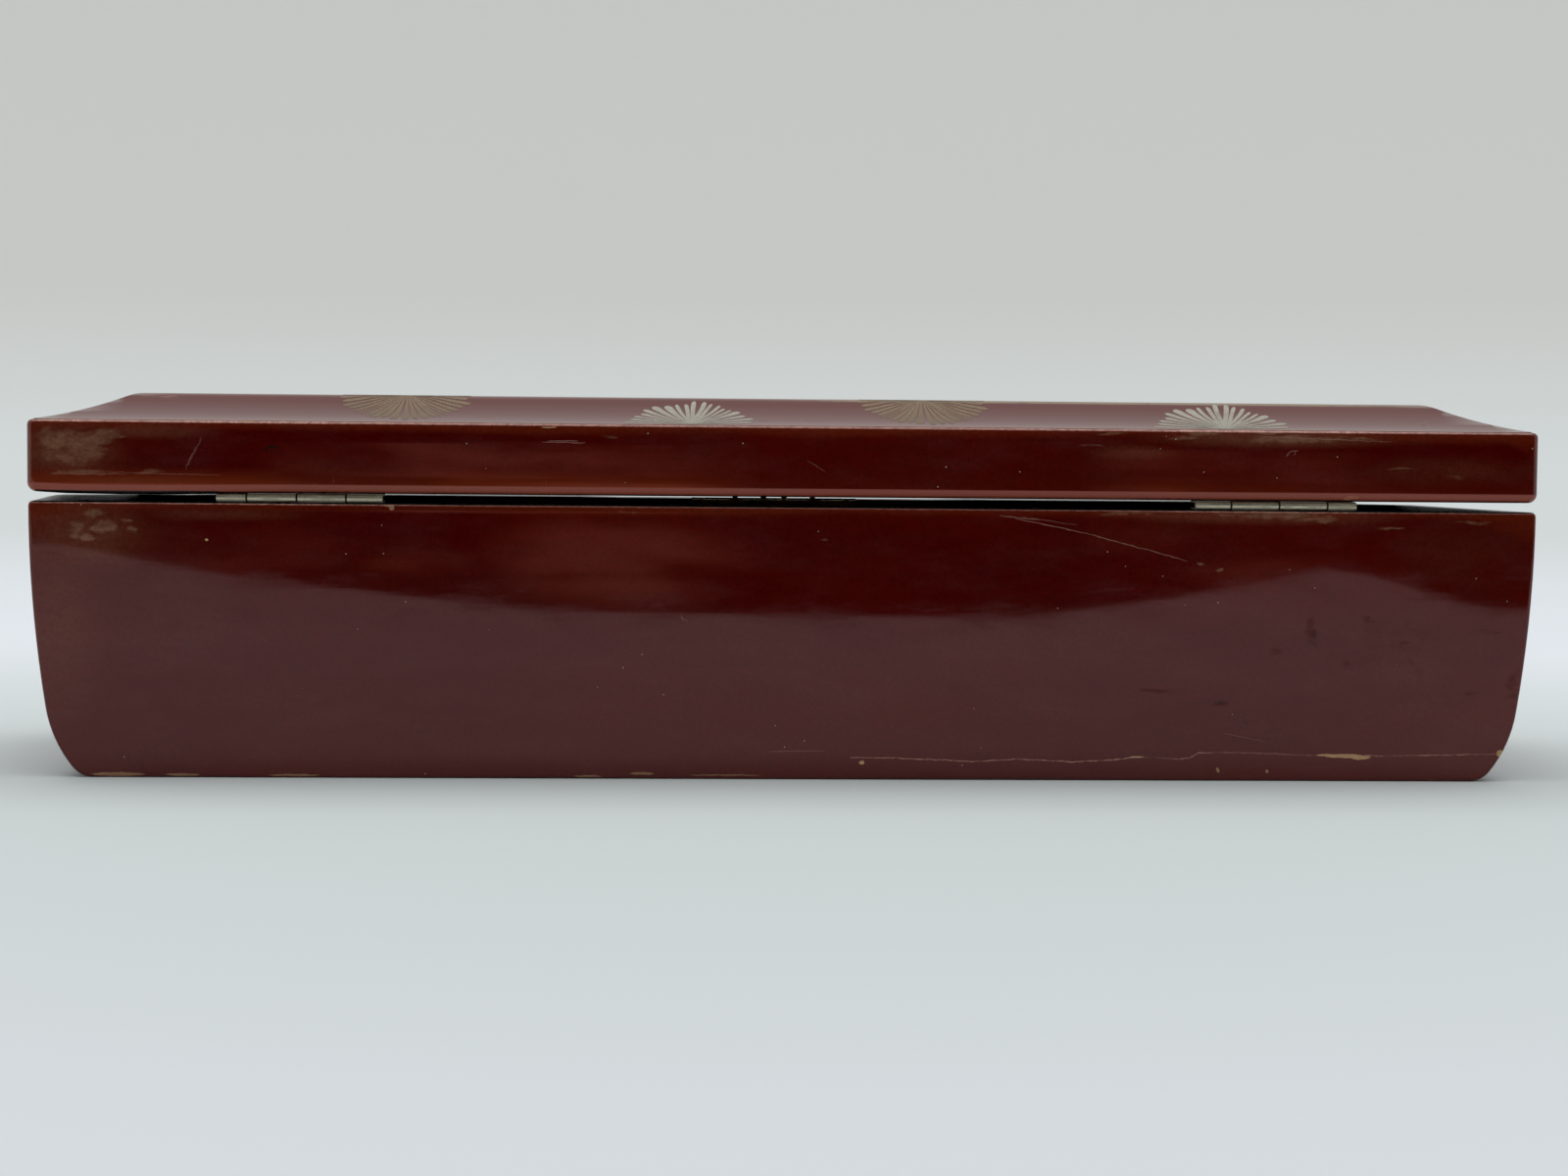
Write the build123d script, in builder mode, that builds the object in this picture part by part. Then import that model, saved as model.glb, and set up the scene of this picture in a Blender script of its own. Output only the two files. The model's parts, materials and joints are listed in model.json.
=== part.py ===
from build123d import *
from math import asin, degrees, radians, sin
import os

os.makedirs("parts", exist_ok=True)

# A lacquered wooden glove box with a hinged, coved lid, in millimetres, +Z up.
# The front is at -Y and the hinges are at +Y. The origin is the middle of the base,
# on the surface that the box stands on.

# Body
box_length = 303.0             # over the two ends, at the rim
box_depth = 91.0               # over the front and back boards
body_height = 55.0             # from the table to the rim
board_thickness = 5.5          # front and back boards
end_thickness = 6.0            # end boards
bottom_thickness = 4.7
end_bow_radius = 262.0         # gentle bow of each end, upright at the rim
foot_curve_radius = 26.0       # tighter curve that draws the end in above the base
foot_curve_height = 14.0       # height where the bow turns into that curve
base_edge_height = 2.0         # height where that curve turns into the round base edge
end_rim_rounding = 1.0         # rim of the end boards
face_rounding = 0.9            # all edges of the front and back faces

# Lid
lid_gap = 1.75                 # daylight between rim and lid
lid_overhang = 0.3             # lid past the body, on every side
lid_rail_height = 14.4
lid_rail_thickness = 5.5       # front and back rails
lid_end_rail_thickness = 6.0
lid_corner_rounding = 2.0
lid_lower_rounding = 1.8       # outer lower edge of the rails
lid_upper_rounding = 0.7       # outer upper edge of the rails
cove_inset = 0.9               # top board back from the rails' outer face
cove_corner_rounding = 2.5     # of the top board's four corners
cove_corner_allowance = 0.2    # that rounding is cut from an outline this much larger
cove_edge = 0.5                # thickness of the top board at its thin edge
cove_run = 17.5                # width of the concave slope
cove_rise = 5.3                # height of the concave slope
cove_radius = 62.0
crest_rounding = 8.0           # where the slope turns into the flat field

# Hinges
hinge_end_margin = 53.5        # from the middle of each hinge to the end of the box
knuckle_lengths = (6.0, 9.9, 9.7, 7.3)     # from the outer end of the hinge
knuckle_gap = 0.12
barrel_diameter = 1.5
pin_diameter = 0.7
pin_running_clearance = 0.025  # radial, pin in knuckle
leaf_width = 4.3               # from the pin to the inner edge of the leaf
leaf_thickness = 0.4
leaf_notch = 0.3               # leaf kept clear of the other leaf's knuckles
hinge_nail_spacing = 12.0

# Nails
nail_diameter = 0.9
nail_head_diameter = 1.9
nail_head_thickness = 0.25
nail_length = 7.0
nail_hole_clearance = 0.03     # radial, nail in wood or sheet
dome_share = 0.8               # of a head's thickness that is rounded off

# Lock
sheet_thickness = 0.6          # bent lock plate and link plate
lock_plate_length = 38.0
lock_plate_height = 22.0
lock_plate_width = 4.0         # of its top, on the rim
lock_fit = 0.1                 # around the lock in its mortise
case_length = 31.0
case_height = 19.4             # below the rim
case_depth = 2.8
case_wall = 0.5
hook_offset = 9.0              # hooks each side of the middle
hook_width = 1.2
hook_thickness = 1.2
hook_drop = 5.2                # hooks below the rim
hook_slot_clearance = 0.5      # around a hook in the lock plate
toe_reach = 1.3
toe_height = 1.2
stud_offset = 2.4              # steady studs each side of the middle
stud_diameter = 1.4
stud_clearance = 0.03          # studs above the lock plate
bolt_travel = 1.7
bolt_clearance = 0.1           # bolt in the case and on its guide pins
bolt_bar_drop = 7.0            # top of the bar below the rim
bolt_bar_height = 3.0
bolt_bar_overrun = 3.5         # bar past its last guide pin
bolt_post_width = 1.6
bolt_nose_gap = 0.3            # nose and post from the toe
bolt_nose_height = 1.6
bolt_stop_gap = 0.1            # nose from the hook when locked
talon_width = 3.6              # notch in the bolt that the key works in
talon_height = 1.3
guide_offset = 7.5             # guide pins each side of the middle
guide_diameter = 1.4
key_post_drop = 13.0           # key post below the rim
key_post_diameter = 1.6
keyhole_radius = 1.7
key_slot_width = 1.3
key_slot_length = 5.0          # from the key post downwards
spring_thickness = 0.3
spring_width = 1.6
spring_radius = 5.0            # of its bend under the bolt
spring_foot = 3.3              # straight stretch on the case wall
spring_curl = 105.0            # degrees that the bend turns
spring_clearance = 0.05        # spring under the bolt
lock_nail_offset = 16.8
lock_nail_dome_height = 0.45
lock_nail_dome_diameter = 1.6
lock_nail_length = 6.0
back_nail_drop = 18.0          # nails of the back plate below the rim
back_nail_length = 4.0
link_plate_length = 30.0
link_plate_width = 3.4
link_nail_offset = 12.5

# Keyhole escutcheon
escutcheon_width = 13.0
escutcheon_height = 18.0
escutcheon_thickness = 0.6
escutcheon_proud = 0.2         # above the front face
escutcheon_pin_offset = 7.2    # pins above and below its middle
escutcheon_pin_diameter = 0.8
escutcheon_pin_head_diameter = 1.2
escutcheon_pin_head_thickness = 0.1
escutcheon_pin_length = 1.7

# Levels and faces that the pieces share
rim_z = body_height
lid_z = rim_z + lid_gap
rail_top_z = lid_z + lid_rail_height
half_length = box_length / 2
half_depth = box_depth / 2
inner_y = half_depth - board_thickness
lid_length = box_length + 2 * lid_overhang
lid_depth = box_depth + 2 * lid_overhang
lid_inner_x = lid_length / 2 - lid_end_rail_thickness
lid_inner_y = lid_depth / 2 - lid_rail_thickness
far = 2 * box_length           # beyond anything that is cut
sides = ((1, "right"), (-1, "left"))       # as seen from the front
standing = (Align.CENTER, Align.CENTER, Align.MIN)     # a cylinder on the place that it starts from

# Angles of the ends' curve from upright, where the bow and the foot curve stop
bow_angle = degrees(asin((rim_z - foot_curve_height) / end_bow_radius))
foot_sine = (foot_curve_height - base_edge_height) / foot_curve_radius + sin(radians(bow_angle))
foot_angle = degrees(asin(foot_sine))
base_edge_radius = base_edge_height / (1 - foot_sine)

# Hinge pin and leaves: the barrel fills the gap, flush with the back face.
barrel_radius = barrel_diameter / 2
pin_y = half_depth - barrel_radius
pin_z = rim_z + lid_gap / 2
hinge_offset = half_length - hinge_end_margin
hinge_length = sum(knuckle_lengths)
notch_y = pin_y - barrel_radius - leaf_notch
leaf_edge_y = pin_y - leaf_width
leaf_nail_y = (notch_y + leaf_edge_y) / 2
nail_hole_radius = nail_diameter / 2 + nail_hole_clearance

# Lock planes, from the inner face of the front board outwards
plate_y = -inner_y - sheet_thickness
case_front_y = plate_y - case_depth
cavity_depth = case_depth - case_wall
bolt_y = plate_y - cavity_depth / 2
bolt_thickness = cavity_depth - 2 * bolt_clearance
top_plate_y = -inner_y - lock_plate_width / 2
link_y = -lid_inner_y - link_plate_width / 2
case_half = case_length / 2
plate_half = lock_plate_length / 2
key_z = rim_z - key_post_drop
escutcheon_z = key_z - (key_slot_length - keyhole_radius) / 2
bar_top_z = rim_z - bolt_bar_drop
bar_bottom_z = bar_top_z - bolt_bar_height


def save(part, label):
    """Name a finished piece and write it."""
    part.label = label
    export_step(part, f"parts/{label}.step")


def block(low, high, mode=Mode.ADD):
    """A box between two corners."""
    size = [b - a for a, b in zip(low, high)]
    with Locations(tuple((a + b) / 2 for a, b in zip(low, high))):
        Box(*size, mode=mode)


def nails(label, places, points, head, length, diameter=nail_diameter):
    """A group of nails: the domed head sits at each place, and the shank points along a direction."""
    head_diameter, head_thickness = head
    with BuildPart() as group:
        for place in places:
            with Locations(Plane(origin=place, z_dir=points)):
                Cylinder(head_diameter / 2, head_thickness, align=(Align.CENTER, Align.CENTER, Align.MAX))
                Cylinder(diameter / 2, length, align=standing)
        head_rims = group.edges().filter_by(GeomType.CIRCLE).group_by(Axis((0, 0, 0), points))[0]
        fillet(head_rims, dome_share * head_thickness)
    save(group.part, label)


def nail_holes(places, points, length, radius=nail_hole_radius):
    """Holes for such nails, cut into the part that is being built."""
    for place in places:
        with Locations(Plane(origin=place, z_dir=points)):
            Cylinder(radius, length, align=standing, mode=Mode.SUBTRACT)


def end_to_end(wall):
    """The body's outline seen from the front or, inside walls of a given thickness, its hollow's."""
    with BuildSketch() as outline:
        with BuildLine():
            bow = JernArc((half_length - wall, rim_z), (0, -1), end_bow_radius - wall, -bow_angle)
            foot = JernArc(bow @ 1, bow % 1, foot_curve_radius - wall, bow_angle - foot_angle)
            if wall:
                Polyline(foot @ 1, ((foot @ 1).X, 0), (0, 0), (0, rim_z), bow @ 0)
            else:
                base = JernArc(foot @ 1, foot % 1, base_edge_radius, foot_angle - 90)
                Polyline(base @ 1, (0, (base @ 1).Y), (0, rim_z), bow @ 0)
        make_face()
        mirror(about=Plane.YZ)
        if not wall:
            fillet(outline.vertices().group_by(Axis.Y)[-1], end_rim_rounding)
    return outline.sketch


def keyhole(clearance):
    """Keyhole outline: a round hole over a straight slot."""
    with BuildSketch() as hole:
        with Locations((0, key_z)):
            Circle(keyhole_radius + clearance)
        with Locations((0, key_z - (key_slot_length + clearance) / 2)):
            Rectangle(key_slot_width + 2 * clearance, key_slot_length + clearance)
    return hole.sketch


# Places of the nails and pins
leaf_nails = {}
for side, name in sides:
    leaf_nails[name] = [side * hinge_offset + step * hinge_nail_spacing for step in (-1, 0, 1)]
back_rail_nails = [(x, leaf_nail_y) for name in leaf_nails for x in leaf_nails[name]]
top_plate_nails = [(side * lock_nail_offset, top_plate_y, rim_z) for side, name in sides]
back_plate_nails = [(side * lock_nail_offset, -inner_y, rim_z - back_nail_drop) for side, name in sides]
link_nails = [(side * link_nail_offset, link_y, lid_z - sheet_thickness) for side, name in sides]
escutcheon_face_y = -half_depth - escutcheon_proud
escutcheon_pins = [(0, escutcheon_face_y, escutcheon_z + up * escutcheon_pin_offset) for up in (-1, 1)]
guide_places = [(side * guide_offset, -inner_y, bar_top_z - bolt_bar_height / 2) for side, name in sides]
key_post_place = (0, -inner_y, key_z)
downwards = (0, 0, -1)
upwards = (0, 0, 1)
forwards = (0, -1, 0)
backwards = (0, 1, 0)


# Body. The outer form and its hollow are drawn once, and the five boards are taken out of them,
# so that the boards meet flush at every joint.
with BuildPart() as body_form:
    with BuildSketch(Plane.XZ.offset(-half_depth)):
        add(end_to_end(0))
    extrude(amount=box_depth)
    fillet(body_form.faces().sort_by(Axis.Y)[0].edges(), face_rounding)
    fillet(body_form.faces().sort_by(Axis.Y)[-1].edges(), face_rounding)
    with BuildSketch(Plane.XZ.offset(-inner_y)):
        add(end_to_end(end_thickness))
        with Locations((0, bottom_thickness + far / 2)):
            Rectangle(far, far, mode=Mode.INTERSECT)
    extrude(amount=2 * inner_y, mode=Mode.SUBTRACT)

with BuildPart() as bottom_board:
    add(body_form.part)
    block((-far, -far, -far), (far, far, bottom_thickness), Mode.INTERSECT)
save(bottom_board.part, "bottom_board")

with BuildPart() as back_board:
    add(body_form.part)
    block((-far, inner_y, bottom_thickness), (far, far, far), Mode.INTERSECT)
    nail_holes([(x, y, rim_z) for x, y in back_rail_nails], downwards, nail_length)
save(back_board.part, "back_board")

for side, name in sides:
    with BuildPart() as end_board:
        add(body_form.part)
        near_x, far_x = sorted((0, side * far))
        block((near_x, -inner_y, bottom_thickness), (far_x, inner_y, far), Mode.INTERSECT)
    save(end_board.part, f"{name}_end_board")

# Front board, with the lock's mortise cut in from behind and above
with BuildPart() as front_board:
    add(body_form.part)
    block((-far, -far, bottom_thickness), (far, -inner_y, far), Mode.INTERSECT)
    # seats of the bent lock plate, on the rim and on the inner face
    block((-plate_half - lock_fit, -inner_y - lock_plate_width - lock_fit, rim_z - sheet_thickness),
          (plate_half + lock_fit, 0, far), Mode.SUBTRACT)
    block((-plate_half - lock_fit, plate_y, rim_z - lock_plate_height - lock_fit),
          (plate_half + lock_fit, 0, far), Mode.SUBTRACT)
    # mortise of the case
    block((-case_half - lock_fit, case_front_y - lock_fit, rim_z - case_height - lock_fit),
          (case_half + lock_fit, 0, far), Mode.SUBTRACT)
    # keyhole, and the seat of its escutcheon
    with BuildSketch(Plane.XZ.offset(half_depth)):
        add(keyhole(lock_fit))
    extrude(amount=-board_thickness, mode=Mode.SUBTRACT)
    with BuildSketch(Plane.XZ.offset(half_depth)):
        with Locations((0, escutcheon_z)):
            Ellipse(escutcheon_width / 2 + lock_fit, escutcheon_height / 2 + lock_fit)
    extrude(amount=escutcheon_proud - escutcheon_thickness, mode=Mode.SUBTRACT)
    nail_holes(top_plate_nails, downwards, lock_nail_length)
    nail_holes(back_plate_nails, forwards, back_nail_length)
    nail_holes(escutcheon_pins, backwards, escutcheon_pin_length,
               escutcheon_pin_diameter / 2 + nail_hole_clearance)
save(front_board.part, "front_board")


# Lid. Its four rails come out of one rounded frame, and the coved top board lies on them.
with BuildPart() as lid_frame:
    with BuildSketch(Plane.XY.offset(lid_z)):
        RectangleRounded(lid_length, lid_depth, lid_corner_rounding)
    extrude(amount=lid_rail_height)
    fillet(lid_frame.faces().sort_by(Axis.Z)[0].edges(), lid_lower_rounding)
    fillet(lid_frame.faces().sort_by(Axis.Z)[-1].edges(), lid_upper_rounding)
    block((-lid_inner_x, -lid_inner_y, 0), (lid_inner_x, lid_inner_y, far), Mode.SUBTRACT)

with BuildPart() as lid_back_rail:
    add(lid_frame.part)
    block((-far, lid_inner_y, 0), (far, far, far), Mode.INTERSECT)
    nail_holes([(x, y, lid_z) for x, y in back_rail_nails], upwards, nail_length)
save(lid_back_rail.part, "lid_back_rail")

with BuildPart() as lid_front_rail:
    add(lid_frame.part)
    block((-far, -far, 0), (far, -lid_inner_y, far), Mode.INTERSECT)
    nail_holes(link_nails, upwards, nail_length)
save(lid_front_rail.part, "lid_front_rail")

for side, name in sides:
    with BuildPart() as lid_end_rail:
        add(lid_frame.part)
        near_x, far_x = sorted((0, side * far))
        block((near_x, -lid_inner_y, 0), (far_x, lid_inner_y, far), Mode.INTERSECT)
    save(lid_end_rail.part, f"lid_{name}_rail")


def cove_section(half_width):
    """Section of the top board: thin edges, a concave slope from each, and the flat field."""
    with BuildSketch() as section:
        with BuildLine():
            edge = Line((half_width, 0), (half_width, cove_edge))
            field_z = cove_edge + cove_rise
            slope = RadiusArc(edge @ 1, (half_width - cove_run, field_z), cove_radius)
            Polyline(slope @ 1, (0, field_z), (0, 0), edge @ 0)
        make_face()
        mirror(about=Plane.YZ)
        crests = section.vertices().group_by(Axis.Y)[-1]
        fillet(crests, crest_rounding)
    return section.sketch


# The same slope runs along all four edges, so the two long extrusions meet in mitred hips.
board_length = lid_length - 2 * cove_inset
board_depth = lid_depth - 2 * cove_inset
with BuildPart() as lid_top_board:
    with BuildSketch(Plane.XY.offset(rail_top_z)):
        RectangleRounded(board_length + 2 * cove_corner_allowance, board_depth + 2 * cove_corner_allowance,
                         cove_corner_rounding)
    extrude(amount=cove_edge + cove_rise)
    with BuildSketch(Plane(origin=(0, board_depth, rail_top_z), x_dir=(1, 0, 0), z_dir=(0, -1, 0))):
        add(cove_section(board_length / 2))
    extrude(amount=2 * board_depth, mode=Mode.INTERSECT)
    with BuildSketch(Plane(origin=(-board_length, 0, rail_top_z), x_dir=(0, 1, 0), z_dir=(1, 0, 0))):
        add(cove_section(board_depth / 2))
    extrude(amount=2 * board_length, mode=Mode.INTERSECT)
save(lid_top_board.part, "lid_top_board")


def knuckle_spans(side):
    """The stretches of the barrel along X, from its outer end."""
    edges = [side * (hinge_offset + hinge_length / 2)]
    for length in knuckle_lengths:
        edges.append(edges[-1] - side * length)
    return [sorted(pair) for pair in zip(edges, edges[1:])]


def hinge_leaf(side, name, first_knuckle, seat_z, facing):
    """A leaf: a plate that lies on the wood at seat_z, rolled into every second knuckle."""
    face_z = seat_z + facing * leaf_thickness
    low_z, high_z = sorted((seat_z, face_z))
    start_x = side * hinge_offset - hinge_length / 2
    own_knuckles = knuckle_spans(side)[first_knuckle::2]
    with BuildPart() as leaf:
        block((start_x, leaf_edge_y, low_z), (start_x + hinge_length, notch_y, high_z))
        for start, stop in own_knuckles:
            length = stop - start - knuckle_gap
            with BuildSketch(Plane.YZ.offset(start + knuckle_gap / 2)):
                with Locations((pin_y, pin_z)):
                    Circle(barrel_radius)
                with Locations(((notch_y + pin_y) / 2, (low_z + high_z) / 2)):
                    Rectangle(pin_y - notch_y, leaf_thickness)
            extrude(amount=length)
        with BuildSketch(Plane.YZ.offset(start_x)):
            with Locations((pin_y, pin_z)):
                Circle(pin_diameter / 2 + pin_running_clearance)
        extrude(amount=hinge_length, mode=Mode.SUBTRACT)
        places = [(x, leaf_nail_y, seat_z) for x in leaf_nails[name]]
        nail_holes(places, (0, 0, facing), leaf_thickness)
    return leaf.part


# Hinges: two, mirror images of each other
for side, name in sides:
    save(hinge_leaf(side, name, 0, rim_z, 1), f"{name}_hinge_body_leaf")
    save(hinge_leaf(side, name, 1, lid_z, -1), f"{name}_hinge_lid_leaf")
    with BuildPart() as hinge_pin:
        with Locations(Plane(origin=(side * hinge_offset, pin_y, pin_z), z_dir=(1, 0, 0))):
            Cylinder(pin_diameter / 2, hinge_length)
    save(hinge_pin.part, f"{name}_hinge_pin")
    head = (nail_head_diameter, nail_head_thickness)
    body_face_z = rim_z + leaf_thickness
    lid_face_z = lid_z - leaf_thickness
    nails(f"{name}_hinge_body_nails", [(x, leaf_nail_y, body_face_z) for x in leaf_nails[name]],
          downwards, head, nail_length)
    nails(f"{name}_hinge_lid_nails", [(x, leaf_nail_y, lid_face_z) for x in leaf_nails[name]],
          upwards, head, nail_length)


# Link plate, under the lid's front rail: two hooks with toes, and two studs that rest on the lock
with BuildPart() as link_plate:
    block((-link_plate_length / 2, link_y - link_plate_width / 2, lid_z - sheet_thickness),
          (link_plate_length / 2, link_y + link_plate_width / 2, lid_z))
    for side, name in sides:
        stem_x = side * hook_offset - hook_width / 2
        block((stem_x, bolt_y - hook_thickness / 2, rim_z - hook_drop),
              (stem_x + hook_width, bolt_y + hook_thickness / 2, lid_z))
        block((stem_x - toe_reach, bolt_y - hook_thickness / 2, rim_z - hook_drop),
              (stem_x, bolt_y + hook_thickness / 2, rim_z - hook_drop + toe_height))
        with Locations((side * stud_offset, bolt_y, rim_z + stud_clearance)):
            Cylinder(stud_diameter / 2, lid_gap - stud_clearance, align=standing)
    nail_holes(link_nails, upwards, sheet_thickness)
save(link_plate.part, "link_plate")
nails("link_plate_nails", link_nails, upwards, (nail_head_diameter, nail_head_thickness), nail_length)

# Lock plate: one sheet, bent over the rim, slotted for the hooks
with BuildPart() as lock_plate:
    block((-plate_half, -inner_y - lock_plate_width, rim_z - sheet_thickness),
          (plate_half, -inner_y, rim_z))
    block((-plate_half, plate_y, rim_z - lock_plate_height), (plate_half, -inner_y, rim_z))
    for side, name in sides:
        stem_x = side * hook_offset - hook_width / 2
        slot_half = hook_thickness / 2 + hook_slot_clearance
        block((stem_x - toe_reach - hook_slot_clearance, bolt_y - slot_half, rim_z - sheet_thickness),
              (stem_x + hook_width + hook_slot_clearance, bolt_y + slot_half, rim_z), Mode.SUBTRACT)
    nail_holes(top_plate_nails, downwards, sheet_thickness)
    nail_holes(back_plate_nails, forwards, sheet_thickness)
    nail_holes(guide_places, forwards, sheet_thickness, guide_diameter / 2 + nail_hole_clearance)
    nail_holes([key_post_place], forwards, sheet_thickness, key_post_diameter / 2 + nail_hole_clearance)
save(lock_plate.part, "lock_plate")
nails("lock_plate_top_nails", top_plate_nails, downwards,
      (lock_nail_dome_diameter, lock_nail_dome_height), lock_nail_length)
nails("lock_plate_back_nails", back_plate_nails, forwards,
      (nail_head_diameter, nail_head_thickness), back_nail_length)

# Lock case: a shallow tray, closed behind by the lock plate
with BuildPart() as lock_case:
    block((-case_half, case_front_y, rim_z - case_height), (case_half, plate_y, rim_z - sheet_thickness))
    block((-case_half + case_wall, case_front_y + case_wall, rim_z - case_height + case_wall),
          (case_half - case_wall, 0, far), Mode.SUBTRACT)
    with BuildSketch(Plane.XZ.offset(-case_front_y)):
        add(keyhole(0))
    extrude(amount=-case_wall, mode=Mode.SUBTRACT)
save(lock_case.part, "lock_case")

# Guide pins and key post, riveted into the back plate and ending at the case's front
with BuildPart() as lock_guide_pins:
    for place in guide_places:
        with Locations(Plane(origin=place, z_dir=forwards)):
            Cylinder(guide_diameter / 2, sheet_thickness + cavity_depth, align=standing)
save(lock_guide_pins.part, "lock_guide_pins")
with BuildPart() as key_post:
    with Locations(Plane(origin=key_post_place, z_dir=forwards)):
        Cylinder(key_post_diameter / 2, sheet_thickness + case_depth, align=standing)
save(key_post.part, "key_post")

# Bolt: a bar on the guide pins, with a nose that slides over the toe of each hook
with BuildPart() as lock_bolt:
    with BuildSketch(Plane.XZ.offset(-bolt_y - bolt_thickness / 2)):
        toe_top_z = rim_z - hook_drop + toe_height
        nose_z = toe_top_z + bolt_nose_gap
        posts = []
        for side, name in sides:
            stem_x = side * hook_offset - hook_width / 2
            nose_x = stem_x - bolt_stop_gap - bolt_travel
            post_x = stem_x - toe_reach - bolt_nose_gap - bolt_travel
            posts.append(post_x - bolt_post_width)
            with Locations((post_x - bolt_post_width / 2, (bar_bottom_z + nose_z + bolt_nose_height) / 2)):
                Rectangle(bolt_post_width, nose_z + bolt_nose_height - bar_bottom_z)
            with Locations(((post_x + nose_x) / 2, nose_z + bolt_nose_height / 2)):
                Rectangle(nose_x - post_x, bolt_nose_height)
        bar_end_x = guide_offset + bolt_bar_overrun
        with Locations(((min(posts) + bar_end_x) / 2, bar_top_z - bolt_bar_height / 2)):
            Rectangle(bar_end_x - min(posts), bolt_bar_height)
        with Locations((0, bar_bottom_z + talon_height / 2)):
            Rectangle(talon_width, talon_height, mode=Mode.SUBTRACT)
        slot_height = guide_diameter + 2 * bolt_clearance
        for side, name in sides:
            with Locations((side * guide_offset - bolt_travel / 2, bar_top_z - bolt_bar_height / 2)):
                SlotOverall(slot_height + bolt_travel, slot_height, mode=Mode.SUBTRACT)
    extrude(amount=bolt_thickness)
save(lock_bolt.part, "lock_bolt")

# Leaf spring, from the case's end wall up to the underside of the bolt
with BuildPart() as lock_spring:
    with BuildSketch(Plane.XZ.offset(-bolt_y - spring_width / 2)):
        with BuildLine() as spring_line:
            wall_x = case_half - case_wall - spring_thickness / 2
            bend_z = bar_bottom_z - spring_clearance - spring_thickness / 2 - spring_radius
            foot = Line((wall_x, bend_z - spring_foot), (wall_x, bend_z))
            JernArc(foot @ 1, (0, 1), spring_radius, spring_curl)
        trace(line_width=spring_thickness)
    extrude(amount=spring_width)
save(lock_spring.part, "lock_spring")

# Keyhole escutcheon, let into the front, and its two pins
with BuildPart() as escutcheon:
    with BuildSketch(Plane.XZ.offset(-escutcheon_face_y)):
        with Locations((0, escutcheon_z)):
            Ellipse(escutcheon_width / 2, escutcheon_height / 2)
        add(keyhole(0), mode=Mode.SUBTRACT)
    extrude(amount=-escutcheon_thickness)
    nail_holes(escutcheon_pins, backwards, escutcheon_thickness,
               escutcheon_pin_diameter / 2 + nail_hole_clearance)
save(escutcheon.part, "keyhole_escutcheon")
nails("escutcheon_pins", escutcheon_pins, backwards,
      (escutcheon_pin_head_diameter, escutcheon_pin_head_thickness),
      escutcheon_pin_length, escutcheon_pin_diameter)
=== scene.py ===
# %% [markdown]
# # A lacquered glove box with a hinged, coved lid
#
# The real box is a long, low box of thin boards, lacquered dark red outside and black inside.
# Its ends curve in towards the base, and the lid carries a top board with concave slopes.
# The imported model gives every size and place. Here the boards get their hand-rubbed surfaces,
# and the metal parts, which already have the right shape, get their worn finishes.

# %% Load the frame
import json
from functools import partial
from math import asin, cos, degrees, pi, radians, sin, sqrt

import bpy
from mathutils import Matrix, Vector, noise


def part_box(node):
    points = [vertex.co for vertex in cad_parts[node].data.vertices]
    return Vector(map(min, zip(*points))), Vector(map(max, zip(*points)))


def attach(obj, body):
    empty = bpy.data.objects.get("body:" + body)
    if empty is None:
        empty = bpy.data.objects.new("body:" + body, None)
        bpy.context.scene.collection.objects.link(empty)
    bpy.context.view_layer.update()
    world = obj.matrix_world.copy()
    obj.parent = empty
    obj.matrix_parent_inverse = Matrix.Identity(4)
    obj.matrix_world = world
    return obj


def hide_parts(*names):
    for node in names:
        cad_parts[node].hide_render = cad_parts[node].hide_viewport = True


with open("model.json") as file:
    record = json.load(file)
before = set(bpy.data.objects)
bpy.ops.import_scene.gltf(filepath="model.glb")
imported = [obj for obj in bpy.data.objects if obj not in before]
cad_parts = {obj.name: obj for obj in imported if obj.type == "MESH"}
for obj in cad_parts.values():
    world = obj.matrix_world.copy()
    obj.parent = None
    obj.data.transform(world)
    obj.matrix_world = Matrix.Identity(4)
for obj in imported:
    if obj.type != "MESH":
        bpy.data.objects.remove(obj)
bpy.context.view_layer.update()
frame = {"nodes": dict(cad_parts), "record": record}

mm = 0.001

# %% [markdown]
# ## Sizes
#
# The places of boards and hinges are read from the frame, so that nothing has to be fitted later.
# The roundings are not in the frame's boxes, so they are named here, as they are on the model.

# %% Sizes that the boards share
half_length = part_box("back_board")[1].x
half_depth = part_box("back_board")[1].y
inner_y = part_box("back_board")[0].y
rim_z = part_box("back_board")[1].z
seam_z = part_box("bottom_board")[1].z
lid_low, lid_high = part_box("lid_back_rail")
lid_half_length = lid_high.x
lid_half_depth = lid_high.y
lid_inner_y = lid_low.y
lid_inner_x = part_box("lid_right_rail")[0].x
lid_z = lid_low.z
rail_top_z = lid_high.z
board_low, board_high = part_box("lid_top_board")
top_z = board_high.z
print("body", half_length / mm, half_depth / mm, rim_z / mm, "lid", lid_z / mm, top_z / mm)

end_thickness = 6.0 * mm
end_bow_radius = 262.0 * mm
foot_curve_radius = 26.0 * mm
foot_curve_height = 14.0 * mm
base_edge_height = 2.0 * mm
end_rim_rounding = 1.0 * mm
face_rounding = 0.9 * mm
lid_corner_rounding = 2.0 * mm
lid_lower_rounding = 1.8 * mm
lid_upper_rounding = 1.1 * mm
cove_edge = 0.03 * mm
cove_run = 17.5 * mm
cove_radius = 62.0 * mm
crest_rounding = 8.0 * mm
cove_corner_rounding = 2.5 * mm

# %% [markdown]
# ## Camera
#
# The photograph was taken with a long lens from behind the box, just above the gap between body
# and lid. The camera's place was found by matching the corners, hinges and edges of the box.
# It is set first, so that every later step can be looked at from the right place.

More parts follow.
